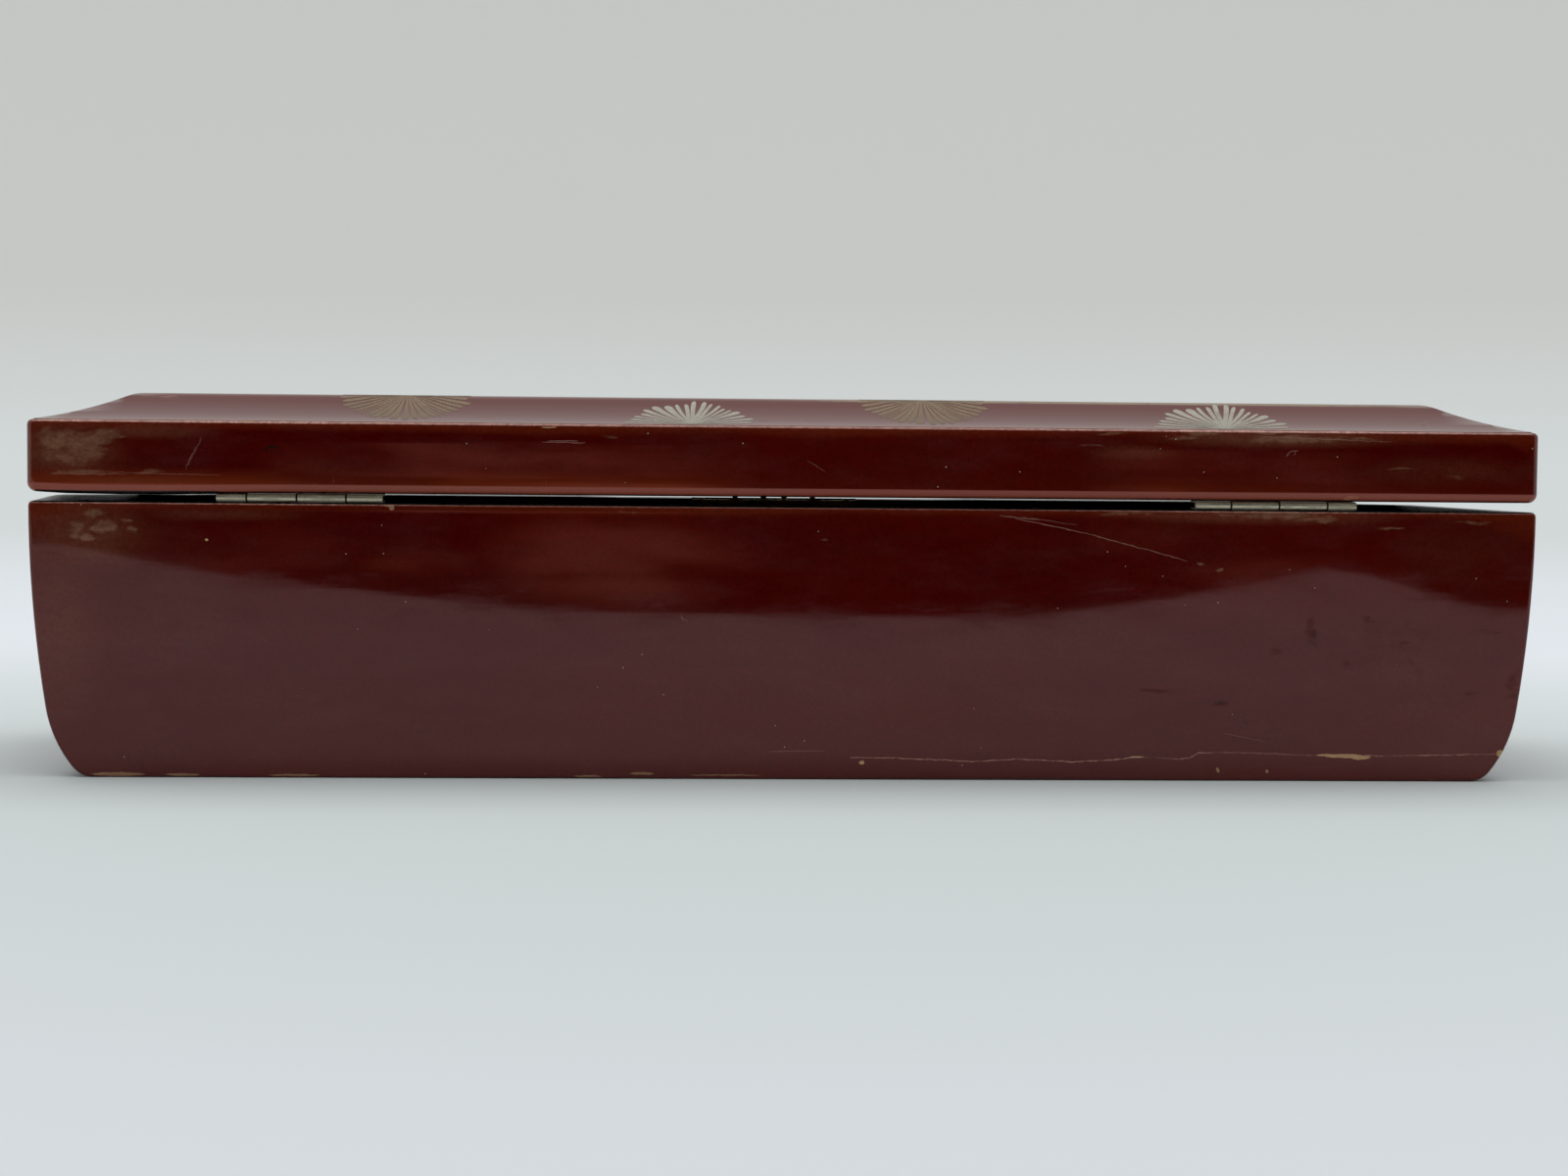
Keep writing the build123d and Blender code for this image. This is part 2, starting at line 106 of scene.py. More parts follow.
# %% Camera
camera_place = Vector((26.25, 584.97, 64.17)) * mm
camera_yaw = radians(2.634)
camera_pitch = radians(2.710)
camera_roll = radians(0.503)
photo_width = 1600
photo_height = 1200
focal_pixels = 2750

camera_data = bpy.data.cameras.new("camera")
camera_data.sensor_width = 36
camera_data.lens = focal_pixels / photo_width * camera_data.sensor_width
camera_data.clip_start = 0.01
camera = bpy.data.objects.new("camera", camera_data)
bpy.context.scene.collection.objects.link(camera)
forward = Vector((
    -sin(camera_yaw) * cos(camera_pitch),
    -cos(camera_yaw) * cos(camera_pitch),
    -sin(camera_pitch),
))
level_right = Vector((-cos(camera_yaw), sin(camera_yaw), 0))
level_up = level_right.cross(forward)
right = cos(camera_roll) * level_right + sin(camera_roll) * level_up
up = cos(camera_roll) * level_up - sin(camera_roll) * level_right
camera.matrix_world = Matrix((
    (right.x, up.x, -forward.x, camera_place.x),
    (right.y, up.y, -forward.y, camera_place.y),
    (right.z, up.z, -forward.z, camera_place.z),
    (0, 0, 0, 1),
))
bpy.context.scene.camera = camera
print("lens", round(camera_data.lens, 2), "mm, looking along", [round(c, 3) for c in forward])

# %% [markdown]
# ## Working by hand, in code
#
# In Blender's edit mode a maker selects edges or faces and then shapes them. These helpers do the
# selecting: each one makes a piece the only selected object, picks what a test says by place or
# normal, and stays in edit mode, ready for the next operator.

# %% Helpers that select
def leave_edit():
    if bpy.context.mode != "OBJECT":
        bpy.ops.object.mode_set(mode="OBJECT")


def only(piece=None):
    """Make one piece, or none, the only selected object, in object mode."""
    leave_edit()
    bpy.ops.object.select_all(action="DESELECT")
    if piece:
        piece.select_set(True)
        bpy.context.view_layer.objects.active = piece


def edit_all(piece):
    """Go to edit mode with the whole piece selected."""
    only(piece)
    bpy.ops.object.mode_set(mode="EDIT")
    bpy.ops.mesh.select_all(action="SELECT")


def pick(piece, kind, wanted):
    """Select the edges or polygons that pass the test, and go to edit mode."""
    only(piece)
    mesh = piece.data
    for item in (*mesh.vertices, *mesh.edges, *mesh.polygons):
        item.select = False
    bpy.context.tool_settings.mesh_select_mode = (False, kind == "edges", kind == "polygons")
    for item in getattr(mesh, kind):
        item.select = wanted(item)
    bpy.ops.object.mode_set(mode="EDIT")


def pick_faces(piece, wanted):
    pick(piece, "polygons", wanted)


def pick_edges(piece, wanted):
    """Pick the edges whose two ends pass the test."""
    def ends_pass(edge):
        return wanted(*(piece.data.vertices[i].co for i in edge.vertices))
    pick(piece, "edges", ends_pass)


def near(a, b, slack=0.02 * mm):
    return abs(a - b) < slack


def at_level(z):
    """A test that the edges at a height pass."""
    return lambda start, end: near(start.z, z) and near(end.z, z)


# %% Helpers that shape
cut_slack = 0.001 * mm
along_x, along_y, along_z = (1, 0, 0), (0, 1, 0), (0, 0, 1)


def take_new(name, scale=(1, 1, 1)):
    """Name the primitive that was just added, stretch it, and put its place in its mesh."""
    piece = bpy.context.object
    piece.name = piece.data.name = name
    piece.scale = scale
    bpy.ops.object.transform_apply(location=True, rotation=True, scale=True)
    return piece


def block(name, low, high):
    """A cube between two corners."""
    only()
    bpy.ops.mesh.primitive_cube_add(size=1, location=[(a + b) / 2 for a, b in zip(low, high)])
    return take_new(name, [b - a for a, b in zip(low, high)])


def round_edges(piece, wanted, radius, steps):
    """Bevel the picked edges to a radius."""
    pick_edges(piece, wanted)
    bpy.ops.mesh.bevel(offset=radius, segments=steps, profile=0.5, affect="EDGES", clamp_overlap=False)
    leave_edit()


def slice_all(piece, axis, distances):
    """Cut edge loops into the whole piece by planes across an axis."""
    edit_all(piece)
    for distance in distances:
        bpy.ops.mesh.select_all(action="SELECT")
        place = [distance * share for share in axis]
        bpy.ops.mesh.bisect(plane_co=place, plane_no=axis, threshold=cut_slack)
    leave_edit()


# %% [markdown]
# ## Hand-made surfaces
#
# Lacquer over hand-planed wood is never quite flat: the reflections in it bend. A slow noise moves
# each point of the outside inwards by a few hundredths of a millimetre. It is applied to the whole
# form before it is cut into boards, so that the boards stay flush at their joints. The boards have
# also moved a little with age, which shows in how wide the line of light in the gap is.

# %% Waviness
wave_length, wave_depth, wave_height = 55 * mm, 30 * mm, 24 * mm


def hollowing(point):
    """How far the surface lies under the ideal one. The face that rests on the table stays flat."""
    along = Vector((point.x / wave_length, point.y / wave_depth, point.z / wave_height))
    slow = 0.5 + 0.5 * noise.noise(along)
    fine = 0.5 + 0.5 * noise.noise(along * 3.1 + Vector((7.3, 1.9, 4.2)))
    resting = min(1.0, point.z / mm)
    return resting * (0.03 + 0.035 * slow + 0.004 * fine) * mm


def hand_plane(piece):
    """Sink every point of a form along its normal by the local hollowing."""
    sunk = [v.co - v.normal * hollowing(v.co) for v in piece.data.vertices]
    for vertex, place in zip(piece.data.vertices, sunk):
        vertex.co = place
    piece.data.update()


# %% Boards that have moved
def share_of(value, start, end):
    """0 at start, 1 at end, and never outside."""
    return min(1.0, max(0.0, (value - start) / (end - start)))


def settle(piece, level, change, reach=6 * mm):
    """Move the points near a level up or down by a change that depends on their place."""
    for vertex in piece.data.vertices:
        nearness = max(0.0, 1 - abs(vertex.co.z - level) / reach)
        vertex.co.z += nearness * change(vertex.co)
    piece.data.update()


lock_half = 37 * mm


def rim_swell(place):
    """The front board stands a little proud of the others, and so does the right end board."""
    at_lock = abs(place.x) < lock_half
    front_swell = 0.5 if at_lock else 0.62
    lip_start, lip_end = (43, 44.6) if at_lock else (30, 40)
    fade_start, fade_end = (116, 142) if place.x > 0 else (108, 146)
    front = front_swell * share_of(-place.y, lip_start * mm, lip_end * mm)
    front *= 1 - share_of(abs(place.x), fade_start * mm, fade_end * mm)
    end_swell = 0.85
    across = share_of(-place.y, -44 * mm, -26 * mm) * (1 - 0.9 * share_of(-place.y, -15 * mm, 42 * mm))
    end = end_swell * across * share_of(place.x, 135 * mm, 148 * mm)
    return max(front, end) * mm


def lid_droop(place):
    """The lid hangs a little lower past one hinge."""
    droop = 0.5 * mm
    return -droop * share_of(place.x, 100 * mm, 124 * mm) * (1 - share_of(place.x, 142 * mm, 151 * mm))


# %% [markdown]
# ## Body form
#
# The five boards of the body meet flush, as if sawn out of one rounded form, so that form is made
# first. A block gets a row of cuts at each end, every row is drawn in to the curve of the ends, and
# then the arrises are rounded. Cutting the boards out of it keeps the curve unbroken over joints.

# %% The curve of the ends
def turned(centre, radius, angle):
    """A point of an arc in the plane of length and height, by its angle below level."""
    return centre + radius * Vector((cos(angle), -sin(angle)))


bow_angle = asin((rim_z - foot_curve_height) / end_bow_radius)
foot_angle = asin((foot_curve_height - base_edge_height) / foot_curve_radius + sin(bow_angle))
base_edge_radius = base_edge_height / (1 - sin(foot_angle))
bow_centre = Vector((half_length - end_bow_radius, rim_z))
foot_centre = turned(bow_centre, end_bow_radius - foot_curve_radius, bow_angle)
base_centre = turned(foot_centre, foot_curve_radius - base_edge_radius, foot_angle)
# Centre, radius, first and last angle below level, and steps of each arc.
end_arcs = (
    (bow_centre, end_bow_radius, 0, bow_angle, 9),
    (foot_centre, foot_curve_radius, bow_angle, foot_angle, 8),
    (base_centre, base_edge_radius, foot_angle, pi / 2, 6),
)


def end_reach(z, wall=0.0):
    """Half the body's length at a height, or half its hollow's inside a wall."""
    for centre, radius, _, last_angle, _ in end_arcs[:3 if wall == 0 else 2]:
        reach = radius - wall
        drop = (centre.y - z) / reach
        if drop <= sin(last_angle):
            break
    return centre.x + reach * sqrt(max(0.0, 1 - min(1.0, drop) ** 2))


end_rows = []
for centre, radius, first_angle, last_angle, steps in end_arcs:
    for k in range(1, steps + 1):
        angle = first_angle + (last_angle - first_angle) * k / steps
        end_rows.append(centre.y - radius * sin(angle))
end_rows.pop()
print("rows", [round(z / mm, 1) for z in end_rows], "reach at the base", round(end_reach(0) / mm, 2))


# %% Draw the ends in
def curved_block(name, depth, top, bottom, wall):
    """A block as deep as given whose two ends follow the curve inside a wall."""
    piece = block(name, (-half_length, -depth, bottom), (half_length, depth, top))
    for row in end_rows:
        if bottom < row < top:
            pick_faces(piece, lambda face: abs(face.normal.x) > 0.9)
            bpy.ops.mesh.bisect(plane_co=(0, 0, row), plane_no=along_z, threshold=cut_slack)
            leave_edit()
    for vertex in piece.data.vertices:
        side = 1 if vertex.co.x > 0 else -1
        vertex.co.x = side * end_reach(min(vertex.co.z, rim_z), wall)
    return piece


def end_rim(start, end):
    """A test that the rim's edges across the two ends pass."""
    return at_level(rim_z)(start, end) and near(start.x, end.x) and abs(start.x) > half_length / 2


def long_arris(start, end):
    """A test that the outer edges of the front and back faces pass."""
    return near(abs(start.y), half_depth) and near(start.y, end.y)


column_step = 9 * mm
row_step = 8 * mm
body_form = curved_block("body_form", half_depth, rim_z, 0.0, 0.0)
round_edges(body_form, end_rim, end_rim_rounding, 3)
round_edges(body_form, long_arris, face_rounding, 4)
slice_all(body_form, along_x, [k * column_step for k in range(-15, 16)])
slice_all(body_form, along_z, [z * mm for z in (7, 11, 15, 20, 25, 30, 35, 40, 45, 50, 53)])
slice_all(body_form, along_y, [k * row_step for k in range(-4, 5)])
hand_plane(body_form)
settle(body_form, rim_z, rim_swell)
print("body form", len(body_form.data.vertices), "points")

# %% [markdown]
# ## Sawing the boards out
#
# A flat saw cut is a bisect that drops one side and closes the cut. Planes can't cut the curved
# inside of an end board, so there a block of the hollow's shape is carved away, with a Boolean
# modifier that is applied at once.

# %% Helpers that saw
def copy_of(piece, name):
    """A copy with its own mesh."""
    twin = piece.copy()
    twin.data = piece.data.copy()
    twin.name = twin.data.name = name
    bpy.context.scene.collection.objects.link(twin)
    return twin


def sawn(form, name, *cuts):
    """A board sawn out of a form. Each cut is a place and the side that drops off."""
    board = copy_of(form, name)
    for place, side in cuts:
        edit_all(board)
        bpy.ops.mesh.bisect(plane_co=place, plane_no=side, use_fill=True, clear_outer=True,
                            threshold=cut_slack)
        leave_edit()
    return board


def carve(piece, tool, operation="DIFFERENCE"):
    """Cut a tool's shape out of the piece, or keep only what lies in it, and remove the tool."""
    only(piece)
    modifier = piece.modifiers.new("carve", "BOOLEAN")
    modifier.operation = operation
    modifier.solver = "EXACT"
    modifier.object = tool
    bpy.ops.object.modifier_apply(modifier=modifier.name)
    bpy.data.objects.remove(tool)


# %% Saw the boards out
hollow_tool = curved_block("hollow_tool", inner_y, rim_z + 5 * mm, seam_z, end_thickness)
drop_bottom = (0, 0, seam_z), (0, 0, -1)
drop_back = (0, inner_y, 0), along_y
drop_front = (0, -inner_y, 0), (0, -1, 0)
rough_cut_x = 100 * mm

bottom_board = sawn(body_form, "bottom", ((0, 0, seam_z), along_z))
back_board = sawn(body_form, "back", drop_bottom, ((0, inner_y, 0), (0, -1, 0)))
front_board = sawn(body_form, "front", drop_bottom, ((0, -inner_y, 0), along_y))
end_boards = {}
for side, name in ((1, "right"), (-1, "left")):
    drop_rest = (side * rough_cut_x, 0, 0), (-side, 0, 0)
    end_boards[name] = sawn(body_form, f"{name}_end", drop_bottom, drop_back, drop_front, drop_rest)
    carve(end_boards[name], copy_of(hollow_tool, "hollow_copy"))
bpy.data.objects.remove(hollow_tool)
bpy.data.objects.remove(body_form)
print("boards sawn:", bottom_board.name, back_board.name, front_board.name, list(end_boards))

# %% [markdown]
# ## Mortise and keyhole in the front board
#
# The lock sits in a mortise cut from behind and above, and the escutcheon lies in a shallow seat.
# A joiner cuts them with a chisel and a drill. Here blocks and cylinders are carved out, a tenth of
# a millimetre larger than the parts that go in.

# %% Cut the lock in
fit = 0.1 * mm
sheet = 0.6 * mm
plate_low, plate_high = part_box("lock_plate")
case_low, case_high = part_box("lock_case")
rim_seat_low = plate_low.x - fit, plate_low.y - fit, rim_z - sheet
back_seat_low = plate_low.x - fit, -inner_y - sheet, plate_low.z - fit
mortise_low = case_low.x - fit, case_low.y - fit, case_low.z - fit
carve(front_board, block("rim_seat", rim_seat_low, (plate_high.x + fit, 0, rim_z + sheet)))
carve(front_board, block("back_seat", back_seat_low, (plate_high.x + fit, 0, rim_z + sheet)))
carve(front_board, block("mortise", mortise_low, (case_high.x + fit, 0, rim_z + sheet)))
print("mortise", round((case_high.x - case_low.x + 2 * fit) / mm, 1), "mm long")

# %% Cut the keyhole
def rod(name, place, radius, depth, steps=32):
    """A cylinder along Y."""
    only()
    bpy.ops.mesh.primitive_cylinder_add(vertices=steps, radius=radius, depth=depth, location=place,
                                        rotation=(pi / 2, 0, 0))
    return take_new(name)


plate_face_low, plate_face_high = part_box("keyhole_escutcheon")
post_low, post_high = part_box("key_post")
key_z = (post_low.z + post_high.z) / 2
keyhole_radius = 1.8 * mm
key_slot_half = 0.75 * mm
key_slot_end = 5.1 * mm
carve(front_board, rod("key_drill", (0, -inner_y, key_z), keyhole_radius, 20 * mm))
key_saw_low = -key_slot_half, -half_depth - sheet, key_z - key_slot_end
carve(front_board, block("key_saw", key_saw_low, (key_slot_half, 0, key_z)))
seat = rod("escutcheon_seat", (0, plate_face_high.y - sheet, 0), 1.0, 2 * sheet, 48)
for vertex in seat.data.vertices:
    vertex.co.x *= plate_face_high.x + fit
    vertex.co.z *= (plate_face_high.z - plate_face_low.z) / 2 + fit
    vertex.co.z += (plate_face_high.z + plate_face_low.z) / 2
carve(front_board, seat)
print("mortise and keyhole cut, front board has", len(front_board.data.polygons), "faces")

# %% [markdown]
# ## Lid rails
#
# The four rails are one frame with rounded corners, a well rounded lower edge and a finer upper
# one. They are sawn out of one rounded block, as the body's boards are.

# %% Lid frame and rails
def upright(start, end):
    """A test that upright edges pass."""
    return near(start.x, end.x) and near(start.y, end.y)


lid_columns = [k * column_step for k in range(-16, 17)]
lid_rows = [k * row_step for k in range(-5, 6)]
lid_form = block("lid_form", (-lid_half_length, -lid_half_depth, lid_z),
                 (lid_half_length, lid_half_depth, rail_top_z))
round_edges(lid_form, upright, lid_corner_rounding, 6)
round_edges(lid_form, at_level(lid_z), lid_lower_rounding, 6)
round_edges(lid_form, at_level(rail_top_z), lid_upper_rounding, 3)
slice_all(lid_form, along_x, lid_columns)
slice_all(lid_form, along_y, lid_rows)
slice_all(lid_form, along_z, [lid_z + z * mm for z in (4, 7, 10)])
hand_plane(lid_form)
settle(lid_form, lid_z, lid_droop)

drop_back = (0, lid_inner_y, 0), along_y
drop_front = (0, -lid_inner_y, 0), (0, -1, 0)
rails = {}
for side, name in ((1, "back"), (-1, "front")):
    rails[name] = sawn(lid_form, f"{name}_rail", ((0, side * lid_inner_y, 0), (0, -side, 0)))
for side, name in ((1, "right"), (-1, "left")):
    drop_rest = (side * lid_inner_x, 0, 0), (-side, 0, 0)
    rails[name] = sawn(lid_form, f"{name}_rail", drop_back, drop_front, drop_rest)
bpy.data.objects.remove(lid_form)
print("rails sawn:", list(rails))

# %% [markdown]
# ## Coved top board
#
# The top board rises from a thin edge in a concave slope to a flat field. On the real board the
# slope is scraped with a curved plane along each side, so the slopes meet in mitred hips. Insetting
# the top face again and again, each time a little higher, gives the same mitres by itself.

# %% Profile of the slope
cove_rise = top_z - rail_top_z - cove_edge
chord = sqrt(cove_run ** 2 + cove_rise ** 2)
start_angle = asin(cove_rise / chord) - asin(chord / 2 / cove_radius)
cove_centre = Vector((-cove_radius * sin(start_angle), cove_radius * cos(start_angle)))
crest_centre_z = cove_rise - crest_rounding
reach = cove_radius + crest_rounding
crest_run = cove_centre.x + sqrt(reach ** 2 - (crest_centre_z - cove_centre.y) ** 2)
crest_angle = asin((crest_run - cove_centre.x) / reach)
crest_centre = Vector((crest_run, crest_centre_z))
cove_steps = 12
crest_steps = 6
slope_points = []
for k in range(1, cove_steps + 1):
    angle = start_angle + (crest_angle - start_angle) * k / cove_steps
    slope_points.append(cove_centre + cove_radius * Vector((sin(angle), -cos(angle))))
for k in range(1, crest_steps + 1):
    angle = crest_angle * (1 - k / crest_steps)
    slope_points.append(crest_centre + crest_rounding * Vector((-sin(angle), cos(angle))))
print("slope from", round(degrees(start_angle), 1), "to", round(degrees(crest_angle), 1), "degrees")
print("field starts", round(crest_run / mm, 2), "mm in")


def slope_height(inward):
    """Height of the top board's face above its thin edge, at a distance from the board's outline."""
    before = Vector((0, 0))
    for point in slope_points:
        if inward <= point.x:
            share = (inward - before.x) / (point.x - before.x)
            return before.y + share * (point.y - before.y)
        before = point
    return cove_rise


# %% Inset the slopes
top_board = block("top_board", board_low, (board_high.x, board_high.y, rail_top_z + cove_edge))
pick_faces(top_board, lambda face: face.normal.z > 0.9)
before = Vector((0, 0))
for point in slope_points:
    bpy.ops.mesh.inset(thickness=point.x - before.x, depth=point.y - before.y)
    before = point
leave_edit()
slice_all(top_board, along_x, lid_columns)
slice_all(top_board, along_y, lid_rows)

outline_tool = block("outline_tool", (board_low.x, board_low.y, rail_top_z - mm),
                     (board_high.x, board_high.y, top_z + mm))
round_edges(outline_tool, upright, cove_corner_rounding, 6)
carve(top_board, outline_tool, "INTERSECT")
glued = [v for v in top_board.data.vertices if near(v.co.z, board_low.z)]
glue_gap = 0.1 * mm
hand_plane(top_board)
for vertex in glued:
    vertex.co.z = board_low.z - glue_gap
print("top board", len(top_board.data.polygons), "faces")

# %% [markdown]
# ## Smooth and hard edges
#
# Shading by angle keeps the joints and cut edges crisp and the roundings soft. Weighted normals
# then let the broad faces stay flat beside their small roundings.

# %% Smooth the boards
def finish_shading(piece, angle=32, weld=0.002 * mm):
    """Smooth over soft edges, keep hard ones, and let broad faces stay flat."""
    edit_all(piece)
    bpy.ops.mesh.remove_doubles(threshold=weld)
    bpy.ops.mesh.normals_make_consistent(inside=False)
    leave_edit()
    bpy.ops.object.shade_smooth_by_angle(angle=radians(angle))
    modifier = piece.modifiers.new("broad faces", "WEIGHTED_NORMAL")
    modifier.keep_sharp = True
    bpy.ops.object.modifier_apply(modifier=modifier.name)


lacquered_body = [bottom_board, back_board, front_board, *end_boards.values()]
lacquered_lid = [*rails.values(), top_board]
for piece in lacquered_body + lacquered_lid:
    finish_shading(piece)
print("smoothed", len(lacquered_body + lacquered_lid), "pieces")

# %% [markdown]
# ## Bodies and nodes
#
# Each new board stands for the CAD node at its place and rides on the same body.

# %% Ride and replace
replaced = {
    bottom_board: "bottom_board",
    back_board: "back_board",
    front_board: "front_board",
    top_board: "lid_top_board",
}
for name, end_board in end_boards.items():
    replaced[end_board] = f"{name}_end_board"
for name, rail in rails.items():
    replaced[rail] = f"lid_{name}_rail"
for piece, node in replaced.items():
    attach(piece, "body" if piece in lacquered_body else "lid")
    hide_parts(node)
print("replaced", len(replaced), "nodes")

# %% [markdown]
# ## Where wear begins
#
# Lacquer wears first at its arrises, and it is red outside but black inside. Both need to know
# where a point lies, so every point of a board stores its distance from the nearest outer edge, in
# millimetres, and how far it belongs to the black side, which starts within the rounding of the rim.
# A large flat face inside has its corners on the outside, so every face stores once more whether it
# faces the hollow. Stored values follow the board when the lid opens.

# %% Distances under the outside
def body_skin(point):
    """Depth of a point under the front or back face, and under the rest of the outline."""
    from_outline = min(end_reach(point.z) - abs(point.x), point.z, rim_z - point.z)
    return half_depth - abs(point.y), from_outline


def lid_skin(point):
    """Depth of a point under the rails' end faces, and under their long faces."""
    return lid_half_length - abs(point.x), lid_half_depth - abs(point.y)


def body_edge(point):
    return max(0.0, *body_skin(point)) / mm


def body_inside(point):
    deep = min(half_depth - abs(point.y), end_reach(point.z) - abs(point.x), point.z) > 1.2 * mm
    return 1.0 if deep else share_of(point.z, rim_z - 0.5 * mm, rim_z - 0.15 * mm)


def lid_edge(point):
    from_end, from_face = lid_skin(point)
    from_side = min(from_end, from_face)
    upper = max(from_side, rail_top_z - point.z)
    lower = max(from_side, point.z - lid_z)
    return max(0.0, min(upper, lower, max(from_end, from_face))) / mm


def lid_inside(point):
    deep = min(lid_skin(point)) > 2.4 * mm and point.z < rail_top_z - 0.5 * mm
    return 1.0 if deep else share_of(point.z, lid_z + 0.45 * mm, lid_z + 0.15 * mm)


def board_inward(point):
    return max(0.0, min(board_high.x - abs(point.x), board_high.y - abs(point.y))) / mm


def board_inside(point):
    under = point.z < rail_top_z + 0.12 * mm
    return 1.0 if under and board_inward(point) > 4 else 0.0


# %% Store edge distance and inside
def store(piece, edge_measure, inside_measure):
    """Keep both measures at every point, and at every face 1 if its middle is inside, or 0."""
    for name, measure in (("edge_mm", edge_measure), ("inside", inside_measure)):
        attribute = piece.data.attributes.new(name, "FLOAT", "POINT")
        for vertex, slot in zip(piece.data.vertices, attribute.data):
            slot.value = measure(vertex.co)
    attribute = piece.data.attributes.new("hollow", "FLOAT", "FACE")
    for face, slot in zip(piece.data.polygons, attribute.data):
        slot.value = 1.0 if inside_measure(face.center) > 0.99 else 0.0


for piece in lacquered_body:
    store(piece, body_edge, body_inside)
for piece in rails.values():
    store(piece, lid_edge, lid_inside)
store(top_board, board_inward, board_inside)
print("edge distances stored on", len(replaced), "boards")

# %% [markdown]
# ## Building materials
#
# A material is a small machine of nodes. The helpers below put one node tree on the bench, add
# nodes to it, set what is constant and link what is not. Effects that several finishes share are
# node groups, built once: worn arrises with a painted highlight, soft worn spots, long scratches,
# specks of dust, and the slow drift of tone in old lacquer.

# %% Put nodes on the bench
def put_on_bench(tree):
    """Let the helpers below work on this node tree."""
    global bench
    bench = tree
    return tree


def connect(node, inputs):
    """Fill inputs of a node: a number or a colour is set, the output of another node is linked."""
    for key, value in inputs.items():
        if isinstance(value, bpy.types.NodeSocket):
            bench.links.new(value, node.inputs[key])
        else:
            node.inputs[key].default_value = value


def add(kind, inputs=None, **settings):
    made = bench.nodes.new("ShaderNode" + kind)
    for key, value in settings.items():
        setattr(made, key, value)
    connect(made, inputs or {})
    return made


def use(group, **inputs):
    """Place a group in a material or in another group."""
    return add("Group", inputs, node_tree=group).outputs


# %% Sums and vectors
def maths(operation, *values):
    return add("Math", dict(enumerate(values)), operation=operation).outputs[0]


times = partial(maths, "MULTIPLY")
plus = partial(maths, "ADD")
minus = partial(maths, "SUBTRACT")
over = partial(maths, "DIVIDE")
larger = partial(maths, "MAXIMUM")


def distance_of(first, second):
    """How far apart two numbers are."""
    return maths("ABSOLUTE", minus(first, second))


def vectors(operation, *values, number=False):
    """Combine vectors. The result is a vector or, for a length or a product, a number."""
    made = add("VectorMath", dict(enumerate(values)), operation=operation)
    return made.outputs["Value" if number else "Vector"]


def scaled(vector, factor):
    return add("VectorMath", {0: vector, "Scale": factor}, operation="SCALE").outputs[0]


def axes_of(point):
    return add("SeparateXYZ", {0: point}).outputs


# %% Colours and levels
def blend(factor, first, second, kind="MIX"):
    """Mix two colours."""
    return add("Mix", {0: factor, 6: first, 7: second}, data_type="RGBA", blend_type=kind).outputs[2]


def ramp(value, start, end, low=0.0, high=1.0):
    """Turn a value into a smooth step between two levels."""
    inputs = {"Value": value, "From Min": start, "From Max": end, "To Min": low, "To Max": high}
    return add("MapRange", inputs, interpolation_type="SMOOTHSTEP").outputs[0]


# %% Helpers for noise, bumps and new trees
def noise_at(vector, detail=3.0, rough=0.5):
    inputs = {"Vector": vector, "Scale": 1.0, "Detail": detail, "Roughness": rough}
    return add("TexNoise", inputs).outputs


def stretched(point, size):
    """Coordinates in which a pattern is as long, deep and high as given, in millimetres."""
    return vectors("MULTIPLY", point, [1 / s for s in size])


def cloud(point, size, detail=3.0, rough=0.5, shift=0.0):
    """Noise from 0 to 1, stretched to a size in millimetres."""
    return noise_at(vectors("ADD", stretched(point, size), (shift, shift, shift)), detail, rough)[0]


def bump(height, strength, depth):
    return add("Bump", {"Height": height, "Strength": strength, "Distance": depth * mm}).outputs[0]


def new_group(name, outputs=("Mask",), **inputs):
    """A group on the bench that takes a point and the named inputs, with their first values."""
    group = put_on_bench(bpy.data.node_groups.new(name, "ShaderNodeTree"))
    group.interface.new_socket("Point", in_out="INPUT", socket_type="NodeSocketVector")
    for label, value in inputs.items():
        kind = "NodeSocketVector" if isinstance(value, tuple) else "NodeSocketFloat"
        group.interface.new_socket(label, in_out="INPUT", socket_type=kind).default_value = value
    for label in outputs:
        group.interface.new_socket(label, in_out="OUTPUT", socket_type="NodeSocketFloat")
    return group, group.nodes.new("NodeGroupInput").outputs, group.nodes.new("NodeGroupOutput")


def new_material(name):
    """A material on the bench. Gives its shader and Object coordinates too."""
    material = bpy.data.materials.new(name)
    material.use_nodes = True
    tree = put_on_bench(material.node_tree)
    return material, tree.nodes["Principled BSDF"], add("TexCoord").outputs["Object"]


# %% Group: arris wear and painted highlight
arris_wear_and_highlight, given, out = new_group("arris wear and highlight", Distance=0.0, Width=0.5, Breakup=0.5, Length=8.0)
patches = noise_at(scaled(given["Point"], over(1.0, given["Length"])), 5.0, 0.62)[0]
swing = times(given["Breakup"], times(minus(patches, 0.5), 8.0))
worn_reach = times(given["Width"], plus(1.0, swing))
connect(out, {"Mask": ramp(minus(worn_reach, given["Distance"]), 0.0, 0.18)})
print("group", arris_wear_and_highlight.name)

# %% Group: soft spot
soft_spot, given, out = new_group("soft spot", Centre=(0, 0, 0), Size=(10, 10, 10), Soft=0.5)
offset = vectors("DIVIDE", vectors("SUBTRACT", given["Point"], given["Centre"]), given["Size"])
length = vectors("LENGTH", offset, number=True)
connect(out, {"Mask": minus(1.0, ramp(length, minus(1.0, given["Soft"]), 1.0))})
print("group", soft_spot.name)

